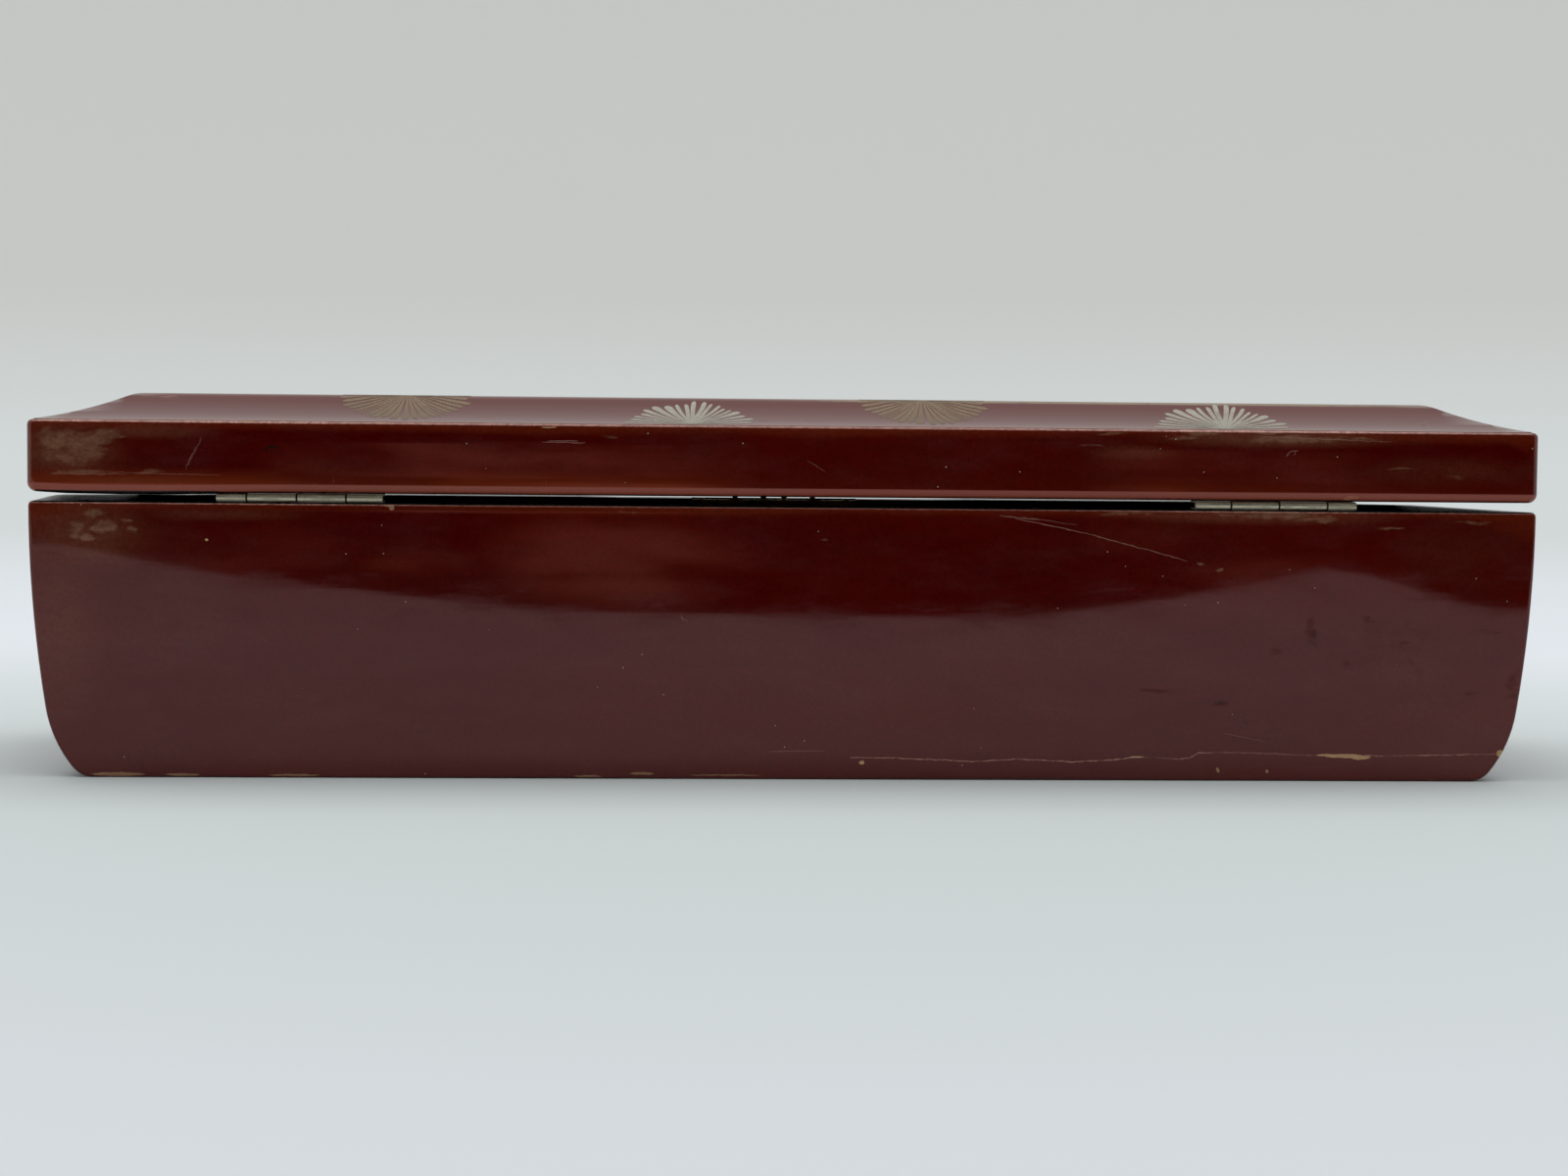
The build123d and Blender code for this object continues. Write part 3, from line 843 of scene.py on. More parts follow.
# %% Group: long scratch
long_scratch, given, out = new_group("long scratch", Start=(0, 0, 0), Run=(1, 0, 0), Width=0.1)
from_start = vectors("SUBTRACT", given["Point"], given["Start"])
along_run = vectors("DOT_PRODUCT", from_start, given["Run"], number=True)
run_square = vectors("DOT_PRODUCT", given["Run"], given["Run"], number=True)
share = larger(0.0, maths("MINIMUM", 1.0, over(along_run, run_square)))
away = vectors("DISTANCE", from_start, scaled(given["Run"], share), number=True)
faded = times(4.0, times(share, minus(1.0, share)))
line = minus(1.0, ramp(away, 0.0, given["Width"]))
connect(out, {"Mask": times(line, maths("POWER", faded, 0.35))})
print("group", long_scratch.name)

# %% Group: dust specks
dust_specks, given, out = new_group("dust specks", Spacing=4.0, Size=0.12, Share=0.3)
cells = scaled(given["Point"], over(1.0, given["Spacing"]))
voronoi = add("TexVoronoi", {"Vector": cells, "Scale": 1.0, "Randomness": 1.0}).outputs
chance = add("SeparateColor", {0: voronoi["Color"]}).outputs
size = times(over(given["Size"], given["Spacing"]), plus(0.35, chance[1]))
speck = maths("LESS_THAN", voronoi["Distance"], size)
connect(out, {"Mask": times(speck, maths("LESS_THAN", chance[0], given["Share"]))})
print("group", dust_specks.name)

# %% Group: drift of tone
lacquer_drift, given, out = new_group("lacquer drift", ("Tone", "Brush"))
slow_drift = cloud(given["Point"], (46, 30, 13), detail=3.0)
brushed = cloud(given["Point"], (38, 12, 1.1), detail=4.0, rough=0.6, shift=5.0)
connect(out, {"Tone": ramp(slow_drift, 0.32, 0.68), "Brush": brushed})
print("group", lacquer_drift.name)

# %% [markdown]
# ## Marks of use on the back
#
# The photograph shows the marks of a hundred years: rubbed patches, scratches, a few dents. Each is
# given by its pixel there. A ray from the camera through that pixel meets the back face of the body
# or of the lid, and that is where the mark goes.

# %% From a pixel to the back of the box
mark_depth = 6.0


def on_back(px, py, face_y):
    """Where the ray through a pixel of the photograph meets an upright plane, in millimetres."""
    ray = forward + ((px - photo_width / 2) * right - (py - photo_height / 2) * up) / focal_pixels
    place = camera_place + ray * ((face_y - camera_place.y) / ray.y)
    return place / mm


def back_spots(face_y, *spots):
    """Spots on the back from pixels: x, y, half width, half height, strength."""
    made = []
    for px, py, half_width, half_height, strength in spots:
        centre = on_back(px, py, face_y)
        corner = on_back(px + half_width, py + half_height, face_y)
        size = Vector((abs(corner.x - centre.x), mark_depth, abs(corner.z - centre.z)))
        made.append((centre, size, strength))
    return made


def back_lines(face_y, *lines):
    """Lines on the back from pixels: start, end, strength."""
    made = []
    for start, end, strength in lines:
        first = on_back(*start, face_y)
        made.append((first, on_back(*end, face_y) - first, strength))
    return made


def marks_on(face_y, scratches=(), **spots):
    """All the marks on one board from pixels: scratches, and spots of several kinds."""
    made = {kind: back_spots(face_y, *places) for kind, places in spots.items()}
    made["scratches"] = back_lines(face_y, *scratches)
    return made


# %% Marks on the lid's back rail
rail_face = lid_half_depth
back_rail_marks = marks_on(
    rail_face,
    rubs=[
        (82, 456, 46, 30, 1.0), (104, 446, 30, 18, 1.0), (52, 452, 20, 30, 0.8), (150, 481, 24, 5, 0.9),
        (84, 482, 60, 5, 0.8), (1137, 443, 28, 3, 0.9), (1225, 442, 32, 4, 0.9), (1318, 448, 74, 6, 1.0),
        (1350, 446, 40, 5, 1.0), (1206, 446, 24, 4, 1.0), (1290, 441, 60, 3, 0.8),
        (1390, 449, 44, 4, 0.7), (1115, 455, 24, 4, 0.6), (1430, 478, 40, 3, 0.5), (628, 446, 16, 3, 0.5),
        (1490, 488, 40, 3, 0.4),
    ],
    haze=[
        (66, 460, 80, 44, 0.9), (150, 440, 90, 12, 0.6), (1300, 448, 160, 14, 1.0),
        (1290, 446, 130, 9, 1.0), (1350, 447, 70, 9, 1.0), (1480, 480, 120, 22, 0.3),
        (1160, 462, 60, 12, 0.5), (130, 492, 110, 9, 1.0),
    ],
    scratches=[
        ((206, 446), (189, 480), 0.55), ((200, 455), (190, 476), 0.6), ((52, 483), (130, 484), 0.8),
        ((100, 485), (128, 481), 0.7), ((120, 482), (226, 485), 0.7), ((553, 451), (598, 452), 1.0),
        ((560, 450), (590, 450), 0.9), ((824, 470), (843, 482), 0.5), ((1280, 445), (1420, 451), 0.7),
        ((1312, 466), (1317, 461), 0.9), ((1316, 461), (1325, 460), 0.9), ((1322, 461), (1320, 465), 0.7),
        ((340, 493), (341, 489), 0.6), ((318, 497), (322, 494), 0.6),
    ],
    dents=[
        (278, 456, 9, 2.6, 0.85), (271, 459, 6, 1.6, 0.7), (988, 470, 3, 2, 0.5), (1064, 449, 40, 2, 0.3),
        (900, 457, 60, 2, 0.2),
    ],
    flakes=[
        (1380, 507.5, 8, 2.0, 1.0), (1376, 509, 5, 2.0, 1.0), (252, 430, 8, 1.6, 0.8),
        (388, 431, 6, 1.2, 0.7), (560, 436, 9, 0.9, 0.8),
    ],
)
print("marks on the rail:", {kind: len(marks) for kind, marks in back_rail_marks.items()})

# %% Marks on the back board and the bottom board
body_face = half_depth
joint_pixels = [
    (868, 773, 0.6), (912, 773.5, 0.8), (992, 777, 0.8), (1042, 774.5, 0.9), (1094, 777.5, 1.0),
    (1137, 775.5, 1.0), (1163, 772, 1.0), (1170, 772.5, 0.2), (1196, 774.5, 0.3), (1202, 774.5, 0.9),
    (1214, 773.5, 0.9), (1223, 768, 0.9), (1234, 768, 0.5), (1272, 768, 0.45), (1344, 771, 0.35),
    (1352, 771, 0.8), (1402, 771, 0.8), (1412, 771.5, 0.4), (1444, 771, 0.4), (1452, 771, 0.85),
    (1494, 770, 0.8), (1504, 770, 0.35), (1532, 769.5, 0.3),
]
joint_line = [(on_back(px, py, body_face), strength) for px, py, strength in joint_pixels]
joint_flakes = [
    (1372, 771.5, 22, 2.4, 1.0), (1388, 773, 12, 2.2, 1.0), (1352, 770.5, 9, 1.3, 1.0),
    (1531, 769, 4, 4.5, 1.0), (879, 778, 3, 2.2, 1.0), (1160, 772.5, 8, 1.0, 0.9),
]
back_board_marks = marks_on(
    body_face,
    rubs=[
        (96, 524, 22, 8, 0.9), (108, 537, 16, 14, 1.0), (92, 548, 18, 7, 0.9), (128, 532, 10, 5, 0.9),
        (76, 540, 20, 16, 0.6), (132, 542, 8, 8, 0.5), (1150, 524, 40, 4, 0.8), (1300, 526, 90, 6, 0.9),
        (1350, 531, 40, 4, 0.7), (1225, 577, 7, 3, 0.8), (1242, 582, 8, 3.5, 1.0), (842, 549, 11, 3, 0.7),
        (1420, 539, 30, 2.5, 0.7), (1500, 535, 40, 4, 0.4), (640, 522, 30, 3, 0.4),
    ],
    haze=[
        (86, 545, 90, 50, 0.8), (230, 525, 120, 10, 0.4), (1290, 528, 180, 12, 0.8),
        (1480, 555, 90, 50, 0.15), (60, 640, 60, 130, 0.4),
    ],
    scratches=[
        ((1020, 526), (1062, 531), 1.0), ((1036, 529), (1112, 545), 1.0), ((1104, 543), (1170, 561), 1.0),
        ((1160, 558), (1212, 573), 0.8), ((1040, 527), (1100, 536), 0.5), ((1248, 748), (1290, 757), 0.4),
        ((784, 767), (842, 766), 0.8), ((693, 630), (702, 634), 0.7), ((695, 627), (697, 634), 0.6),
    ],
    dents=[
        (1396, 630, 5, 1.6, 0.5), (1403, 635, 4, 1.6, 0.5), (1520, 646, 12, 0.9, 0.6),
        (1541, 646, 4, 0.8, 0.5), (1271, 737, 3.4, 3.2, 0.8), (1243, 717, 6, 3.4, 0.5),
        (1236, 715, 10, 2, 0.3), (1190, 706, 34, 3, 0.2), (1340, 652, 9, 16, 0.25),
        (1375, 679, 9, 7, 0.2), (1500, 707, 24, 4, 0.18), (1285, 754, 24, 1.0, 0.5),
        (1556, 636, 3, 5, 0.4),
    ],
    dull=[
        (1338, 645, 9, 22, 0.8), (1376, 680, 10, 9, 0.6), (1304, 664, 12, 7, 0.6),
        (1434, 656, 12, 12, 0.6), (1447, 684, 8, 18, 0.6), (1400, 632, 9, 5, 0.9),
        (1243, 718, 16, 5, 0.9), (1182, 706, 40, 4, 0.8), (1501, 709, 20, 8, 0.7),
        (1545, 705, 10, 40, 0.7), (1410, 660, 110, 50, 0.35), (1520, 646, 16, 3, 0.7),
        (1100, 700, 60, 30, 0.25), (150, 700, 60, 40, 0.3), (560, 740, 120, 26, 0.3),
    ],
    flakes=joint_flakes + [
        (211, 550.5, 1.5, 1.5, 1.0), (396, 515.5, 6, 2.0, 0.5), (400, 518, 3, 3, 0.5),
    ],
)
bottom_board_marks = marks_on(
    body_face,
    flakes=joint_flakes + [
        (1243, 786, 2, 3, 0.6), (1293, 787, 2, 2, 0.6), (120, 790, 30, 2.4, 0.5),
        (186, 790.5, 20, 1.8, 0.42), (300, 791, 28, 1.5, 0.42), (600, 792, 16, 1.4, 0.4),
        (655, 789.5, 14, 1.6, 0.4), (740, 791, 40, 1.0, 0.35),
    ],
)
print("marks on the back:", {kind: len(marks) for kind, marks in back_board_marks.items()})

# %% Marks on the sides that the photograph doesn't show
def front_spots(*spots):
    """Spots on the front, from millimetres: along, up, half width, half height, strength."""
    made = []
    for x, z, width, height, strength in spots:
        made.append((Vector((x, -half_depth / mm, z)), Vector((width, mark_depth, height)), strength))
    return made


def end_spots(side, x, *spots):
    """Spots on an end, from millimetres, as on the front. The two ends mirror each other."""
    made = []
    for y, z, width, height, strength in spots:
        made.append((Vector((side * x, side * y, z)), Vector((mark_depth, width, height)), strength))
    return made


front_y = -45.5
front_board_marks = {
    "rubs": front_spots((9, 36, 12, 9, 0.8), (-14, 30, 10, 6, 0.5), (0, 52, 22, 4, 0.8),
                        (128, 46, 18, 7, 0.8), (-136, 42, 12, 10, 0.7), (70, 51, 26, 2.5, 0.6),
                        (-80, 50, 30, 3, 0.5)),
    "scratches": [
        (Vector((5, front_y, 33)), Vector((9, 0, -7)), 0.7),
        (Vector((-6, front_y, 35)), Vector((-8, 0, -9)), 0.6),
        (Vector((58, front_y, 24)), Vector((22, 0, 4)), 0.7),
        (Vector((-98, front_y, 40)), Vector((14, 0, -6)), 0.6),
    ],
    "dents": front_spots((44, 20, 1.0, 0.7, 0.6), (-66, 28, 1.4, 0.6, 0.5)),
    "flakes": front_spots((-120, 0.8, 4, 0.9, 0.9), (96, 0.6, 6, 0.7, 0.9), (4, 28, 0.8, 1.2, 0.8)),
}


def end_marks(x, low, high):
    """Rubs and a few nicks on both ends of the body or the lid, between two heights."""
    middle = (low + high) / 2
    made = {"rubs": [], "dents": [], "flakes": [], "scratches": []}
    for side in (-1, 1):
        made["rubs"] += end_spots(side, x, (0, high - 4, 20, 4, 0.7), (34, middle, 8, 8, 0.8),
                                  (-36, high - 6, 9, 5, 0.7))
        made["dents"] += end_spots(side, x, (12, middle - 4, 1.2, 0.7, 0.5))
        made["flakes"] += end_spots(side, x, (-30, low + 0.6, 4, 0.8, 0.9), (22, low + 0.5, 3, 0.6, 0.8))
        made["scratches"].append((Vector((side * x, -8, middle + 2)), Vector((0, 17, 5)), 0.6))
    return made


end_board_marks = end_marks(149, 4, 55)
other_rail_marks = end_marks(151.8, 57, 71)
other_rail_marks["rubs"] += front_spots((0, 60, 24, 5, 0.8), (-120, 66, 16, 5, 0.8), (96, 69, 30, 2.5, 0.7))
print("marks on the front:", {kind: len(marks) for kind, marks in front_board_marks.items()})

# %% [markdown]
# ## Red lacquer
#
# The lacquer is a deep red that turns orange brown where it was rubbed thin. It reflects like glass,
# so most of what is seen on it is the room. Dull rubbed patches, bare arrises, chips down to the
# wood, specks and scratches break that gloss. The pale lines on the arrises are partly painted
# highlight, and the slopes and the lid's lower rounding carry painted sheen and reflection. The
# finishes of body, lid and top board differ only in where their marks are, so one function builds
# all three. Every mark is looked up at a slightly displaced point, which makes its outline ragged.

# %% Colours of the lacquer
DEEP_RED = (0.050, 0.0008, 0.0004, 1)
WARM_RED = (0.064, 0.0020, 0.0009, 1)
BROWNED = (0.056, 0.0055, 0.0032, 1)
THIN_LACQUER = (0.150, 0.022, 0.006, 1)
# The next red is a painted reflection on the lid's lower rounding.
REFLECTED_UNDER_RED = (0.240, 0.050, 0.028, 1)
# The slope red is a painted sheen on the coved slopes.
SLOPE_SHEEN_RED = (0.105, 0.0150, 0.0120, 1)
RUBBED = (0.215, 0.118, 0.066, 1)
HAZED = (0.130, 0.044, 0.024, 1)
BLOOM = (0.085, 0.021, 0.019, 1)
PALE_WEAR = (0.46, 0.24, 0.19, 1)
ARRIS = (0.36, 0.20, 0.15, 1)
BARE_WOOD = (0.44, 0.27, 0.14, 1)
BLACK_LACQUER = (0.0035, 0.0030, 0.0028, 1)
DUST = (0.62, 0.58, 0.52, 1)
OPEN_JOINT = (0.010, 0.004, 0.003, 1)
RED_SHEEN = (1.0, 0.62, 0.60, 1)


# %% Draw marks
def ragged_point(point, size, shift):
    """The point moved by a noise of the given size, so that outlines drawn there are torn."""
    centred = vectors("SUBTRACT", noise_at(stretched(point, size))["Color"], (0.5, 0.5, 0.5))
    return vectors("ADD", point, vectors("MULTIPLY", centred, shift))


def draw_spots(point, spots, soft):
    top = 0.0
    for centre, size, strength in spots:
        spot = use(soft_spot, Point=point, Centre=centre, Size=size, Soft=soft)["Mask"]
        top = larger(top, times(spot, strength))
    return top


def draw_lines(point, lines, width):
    top = 0.0
    for start, run, strength in lines:
        line = use(long_scratch, Point=point, Start=start, Run=run, Width=width)["Mask"]
        top = larger(top, times(line, strength))
    return top


# %% Draw the open joint
def follow(along, start, end, places):
    """A level from 0 to 1 that follows places (position, level) between a start and an end."""
    node = add("FloatCurve", {"Value": over(minus(along, start), end - start)})
    curve = node.mapping.curves[0]
    shares = sorted(((place - start) / (end - start), level) for place, level in places)
    curve.points[0].location = shares[0]
    curve.points[1].location = shares[-1]
    for place in shares[1:-1]:
        curve.points.new(*place)
    for knot in curve.points:
        knot.handle_type = "VECTOR"
    node.mapping.update()
    return node.outputs[0]


def draw_joint(point):
    """The open glue joint between back board and bottom board, a thin line broken into pieces."""
    first, last = joint_line[-1][0].x, joint_line[0][0].x
    low, high = 4.0, 8.0
    axes = axes_of(point)
    levels = [(place.x, (place.z - low) / (high - low)) for place, _ in joint_line]
    level = follow(axes["X"], first, last, levels)
    strength = follow(axes["X"], first, last, [(place.x, share) for place, share in joint_line])
    off = distance_of(axes["Z"], maths("MULTIPLY_ADD", level, high - low, low))
    line = times(ramp(off, 0.17, 0.0), strength)
    line = times(line, maths("LESS_THAN", first, axes["X"]))
    line = times(line, maths("LESS_THAN", axes["X"], last))
    return times(line, ramp(cloud(point, (2.2, 9, 9), 4.0, 0.7, shift=31.0), 0.36, 0.56, 0.25, 1.0))


# %% Ground coat and patches
def ground_coat(point, tone, edge, glow_above):
    """Deep red, browned and bloomed with age, and thin and orange along the arrises."""
    colour = blend(tone, DEEP_RED, WARM_RED)
    browned = ramp(cloud(point, (26, 26, 15), 5.0, 0.62, shift=21.0), 0.42, 0.72, 0.0, 0.55)
    colour = blend(browned, colour, BROWNED)
    bloom = ramp(cloud(point, (22, 22, 8), 5.0, 0.68, shift=41.0), 0.42, 0.72, 0.0, 0.24)
    colour = blend(bloom, colour, BLOOM)
    thin_reach = plus(0.6, times(4.2, cloud(point, (42, 20, 9), 4.0, shift=2.0)))
    thin = ramp(minus(thin_reach, edge), 0.0, 2.2)
    height_mm = axes_of(point)["Z"]
    thin = times(thin, ramp(height_mm, glow_above - 3, glow_above + 2, 0.08, 1.0))
    return blend(times(thin, 0.42), colour, THIN_LACQUER)


def rub_patches(point, colour, torn, grain, rubbing, marks):
    """Rubbed and hazed patches: soft spots broken up by grain, and torn at their outlines."""
    hazed = times(draw_spots(point, marks.get("haze", []), 0.95), ramp(rubbing, 0.2, 0.6, 0.45, 1.0))
    colour = blend(times(hazed, 0.8), colour, HAZED)
    spots = draw_spots(torn, marks.get("rubs", []), 0.95)
    breakup = minus(plus(grain, rubbing), 1.0)
    rubbed = ramp(plus(times(spots, 0.9), breakup), 0.15, 0.75)
    rubbed = times(rubbed, ramp(spots, 0.0, 0.3))
    rubbed = times(rubbed, ramp(rubbing, 0.3, 0.66, 0.5, 1.0))
    return blend(times(rubbed, 0.5), colour, RUBBED), rubbed


# %% Build a lacquer
def lacquer(name, marks, glow_above, decorate=None, cracked_joint=False):
    """Lacquer with its own marks. The thin orange band shows above a height in millimetres."""
    material, shader, place = new_material(name)
    point = scaled(place, 1 / mm)
    edge, inside, hollow = (
        add("Attribute", attribute_name=stored).outputs["Fac"] for stored in ("edge_mm", "inside", "hollow"))
    drift = use(lacquer_drift, Point=point)
    grain = cloud(point, (9, 9, 1.6), 5.0, 0.65, shift=9.0)
    rubbing = cloud(point, (3.6, 3.6, 2.0), 5.0, 0.7, shift=12.0)
    torn = ragged_point(point, (7, 7, 3), (7, 0, 2.4))
    frayed = ragged_point(point, (1.6, 1.6, 0.9), (0.9, 0, 0.42))
    colour = ground_coat(point, drift["Tone"], edge, glow_above)
    colour, rubbed = rub_patches(point, colour, torn, grain, rubbing, marks)

    # Fine marks, bare arrises with their painted highlight, and chips, which lie over the patches.
    scratched = draw_lines(frayed, marks.get("scratches", []), 0.17)
    colour = blend(times(scratched, 0.45), colour, PALE_WEAR)
    dented = draw_spots(frayed, marks.get("dents", []), 0.8)
    colour = blend(dented, colour, OPEN_JOINT)
    # The pale band on the arrises is partly lacquer rubbed through and partly a painted highlight.
    bare_arris_and_highlight = use(arris_wear_and_highlight, Point=point, Distance=edge, Width=0.22, Breakup=0.55, Length=3.5)["Mask"]
    colour = blend(times(bare_arris_and_highlight, 0.55), colour, ARRIS)
    chips = use(arris_wear_and_highlight, Point=point, Distance=edge, Width=-0.75, Breakup=-0.62, Length=11.0)["Mask"]
    chipped = larger(chips, draw_spots(frayed, marks.get("flakes", []), 0.25))
    colour = blend(chipped, colour, BARE_WOOD)
    cracked = bare_arris_and_highlight
    if cracked_joint:
        cracked = draw_joint(frayed)
        colour = blend(times(cracked, 0.9), colour, PALE_WEAR)
    specks = use(dust_specks, Point=point, Spacing=4.0, Size=0.14, Share=0.76)["Mask"]
    colour = blend(times(specks, 0.75), colour, DUST)

    mottled = ramp(cloud(point, (0.8, 0.8, 0.8), 5.0, 0.7, shift=51.0), 0.3, 0.7, 0.82, 1.16)
    colour = blend(1.0, colour, mottled, "MULTIPLY")
    # The gloss breaks wherever something lies bare.
    scuffs = ramp(cloud(point, (14, 14, 3), 6.0, 0.7, shift=4.0), 0.45, 0.75, 0.0, 0.07)
    roughness = larger(plus(0.03, scuffs), times(rubbed, 0.17))
    dulled = draw_spots(torn, marks.get("dull", []), 0.7)
    dulled = times(dulled, ramp(rubbing, 0.36, 0.6, 0.25, 1.0))
    roughness = larger(roughness, times(dulled, 0.40))
    matt = larger(larger(larger(bare_arris_and_highlight, scratched), cracked), specks)
    roughness = larger(roughness, times(matt, 0.5))
    roughness = larger(roughness, times(chipped, 0.85))
    if decorate:
        colour, roughness = decorate(point, colour, roughness, edge)

    # The black of the inside lies over everything, with a slightly wandering border at the rim.
    wander = times(minus(grain, 0.5), 0.5)
    black = larger(ramp(plus(inside, wander), 0.42, 0.58), hollow)
    colour = blend(times(black, minus(1.0, times(bare_arris_and_highlight, 0.35))), colour, BLACK_LACQUER)
    satin = plus(0.16, times(rubbing, 0.26))
    roughness = maths("MULTIPLY_ADD", minus(satin, roughness), black, roughness)
    height = minus(times(drift["Brush"], 0.05), chips)
    if cracked_joint:
        height = minus(height, times(cracked, 0.4))
    connect(shader, {
        "Base Color": colour, "Roughness": roughness, "Normal": bump(height, 0.25, 0.05),
        "IOR": 1.6, "Specular Tint": RED_SHEEN,
    })
    return material


# %% Pale lines along the arrises, worn and with a painted highlight
def pale_line_and_highlight(point, colour, roughness, middle, half, wear):
    """A pale line along an arris, partly rubbed lacquer and partly a painted highlight, stronger in some
    places, broken up by a noise.
    """
    axes = axes_of(point)
    line = ramp(distance_of(axes["Z"], middle), half, half * 0.4)
    outer = ramp(maths("ABSOLUTE", axes["Y"]), half_depth / mm - 1.4, half_depth / mm - 1.2)
    strength = follow(axes["X"], -150, 150, wear)
    torn = ramp(cloud(point, (1.8, 9, 0.7), 5.0, 0.7, shift=17.0), 0.38, 0.60, 0.22, 1.0)
    line = times(times(line, outer), times(strength, torn))
    return blend(line, colour, PALE_WEAR), larger(roughness, times(line, 0.34))


def wear_and_light_along(face_y, *places):
    """Strength along an arris, of wear and of painted light, from pixels of the photograph: (pixel,
    strength).
    """
    gap_row = 500
    return [(on_back(px, gap_row, face_y).x, strength) for px, strength in places]


rail_wear_and_highlight = wear_and_light_along(
    rail_face, (40, 0.7), (70, 1.0), (90, 1.0), (104, 0.6), (150, 0.6), (165, 1.0), (330, 1.0), (350, 0.65),
    (820, 0.55), (1180, 0.6), (1200, 1.0), (1380, 1.0), (1400, 0.55), (1556, 0.3))
low_wear = wear_and_light_along(
    rail_face, (40, 1.0), (240, 1.0), (320, 0.4), (420, 0.5), (480, 1.0), (690, 0.9), (780, 0.1), (1100, 0.1),
    (1190, 0.7), (1240, 0.4), (1500, 0.2))
rim_wear_and_highlight = wear_and_light_along(
    body_face, (40, 0.5), (60, 0.9), (130, 0.9), (150, 0.5), (206, 1.0), (300, 1.0), (400, 0.8), (420, 0.45),
    (800, 0.3), (1180, 0.35), (1210, 0.9), (1330, 1.0), (1380, 0.8), (1400, 0.4), (1556, 0.3))
print("wear along the rim from", round(rim_wear_and_highlight[-1][0]), "to", round(rim_wear_and_highlight[0][0]), "mm")


# %% Lacquer of the body and the rails
def wear_and_light_of_rails(point, colour, roughness, edge):
    """The upper arris is rubbed pale and carries a painted highlight. Round the lower arris the lacquer is
    thin, and the rounding is painted redder as a painted reflection.
    """
    axes = axes_of(point)
    low_fade = ramp(axes["Z"], lid_z / mm + 5.6, lid_z / mm + 1.8, 0.0, 0.75)
    low_fade = times(low_fade, follow(axes["X"], -150, 150, low_wear))
    # The lower rounding is painted a brighter red: a painted reflection.
    painted_low_reflection = ramp(axes["Z"], lid_z / mm + 2.0, lid_z / mm + 1.5, 0.0, 0.75)
    colour = blend(low_fade, colour, THIN_LACQUER)
    colour = blend(painted_low_reflection, colour, REFLECTED_UNDER_RED)
    return pale_line_and_highlight(point, colour, roughness, rail_top_z / mm - 0.25, 0.40, rail_wear_and_highlight)


def wear_and_highlight_of_rim(point, colour, roughness, edge):
    # A pale line along the rim's arris, partly rubbed lacquer and partly a painted highlight.
    return pale_line_and_highlight(point, colour, roughness, rim_z / mm - 0.34, 0.30, rim_wear_and_highlight)


body_glow_above = 50
lid_glow_above = 67
finishes = {
    back_board: lacquer("back board lacquer", back_board_marks, body_glow_above, wear_and_highlight_of_rim, True),
    bottom_board: lacquer("bottom board lacquer", bottom_board_marks, body_glow_above, None, True),
    front_board: lacquer("front board lacquer", front_board_marks, body_glow_above, wear_and_highlight_of_rim),
    rails["back"]: lacquer("back rail lacquer", back_rail_marks, lid_glow_above, wear_and_light_of_rails),
    rails["front"]: lacquer("rail lacquer", other_rail_marks, lid_glow_above, wear_and_light_of_rails),
    end_boards["right"]: lacquer("end board lacquer", end_board_marks, body_glow_above),
}
finishes[end_boards["left"]] = finishes[end_boards["right"]]
finishes[rails["left"]] = finishes[rails["right"]] = finishes[rails["front"]]
print("lacquers:", sorted({finish.name for finish in finishes.values()}))

# %% The top board's lacquer
GOLD_LINE = (0.26, 0.22, 0.14, 1)
crest_y = 27 * mm
gold_line_start, gold_line_end = on_back(800, 409, crest_y).x, on_back(880, 410, crest_y).x


def crest_wear_and_slope_sheen(point, colour, roughness, edge):
    """The slopes are painted a lighter red, a painted sheen, and their thin lip pale, partly worn and partly
    a painted highlight. The crest is rubbed thin. Its line of gold powder is worn away over part of the back.
    """
    crest_mm = crest_run / mm
    # The slopes' lighter red is a painted sheen.
    painted_slope_sheen = ramp(edge, crest_mm, crest_mm - 4)
    colour = blend(times(painted_slope_sheen, 0.9), colour, SLOPE_SHEEN_RED)
    # The pale lip is partly worn lacquer and partly a painted highlight.
    lip_wear_and_highlight = ramp(edge, 0.5, 0.1, 0.0, 0.6)
    colour = blend(lip_wear_and_highlight, colour, PALE_WEAR)
    crest = ramp(distance_of(edge, crest_mm - 1.6), 2.2, 0.2)
    crest = times(crest, cloud(point, (16, 16, 16), 5.0, 0.6, shift=8.0))
    colour = blend(times(crest, 0.9), colour, THIN_LACQUER)
    band = ramp(distance_of(edge, crest_mm - 1.2), 1.7, 1.4)
    axes = axes_of(point)
    kept = larger(ramp(axes["X"], gold_line_start, gold_line_end), ramp(axes["Y"], 24, 14))
    band = times(band, kept)
    band = times(band, ramp(cloud(point, (9, 9, 9), 5.0, 0.65, shift=1.0), 0.3, 0.5))
    return blend(times(band, 0.85), colour, GOLD_LINE), larger(roughness, times(band, 0.42))


slope_face = 38 * mm
crest_face = 29 * mm
board_marks = marks_on(
    slope_face,
    rubs=[(150, 404, 18, 3, 0.9), (700, 428, 60, 4, 0.3), (1350, 436, 60, 4, 0.4)],
    scratches=[
        ((183, 409), (193, 400), 1.0), ((1090, 434), (1112, 430), 0.7), ((1330, 430), (1290, 434), 0.4),
    ],
    dents=[(590, 431, 40, 0.8, 0.8), (1490, 431, 26, 0.7, 0.8), (545, 432, 30, 0.6, 0.7)],
    flakes=[
        (780, 430, 9, 0.7, 0.6), (830, 430, 12, 0.6, 0.5), (1442, 430, 2, 1.6, 0.5), (1452, 434, 2, 1.4, 0.5),
    ],
)
board_marks["rubs"] += back_spots(crest_face, (160, 404, 46, 3, 1.0))
board_marks["flakes"] += back_spots(crest_face, (150, 403.6, 9, 1.0, 0.5), (172, 404.4, 12, 1.0, 0.45))
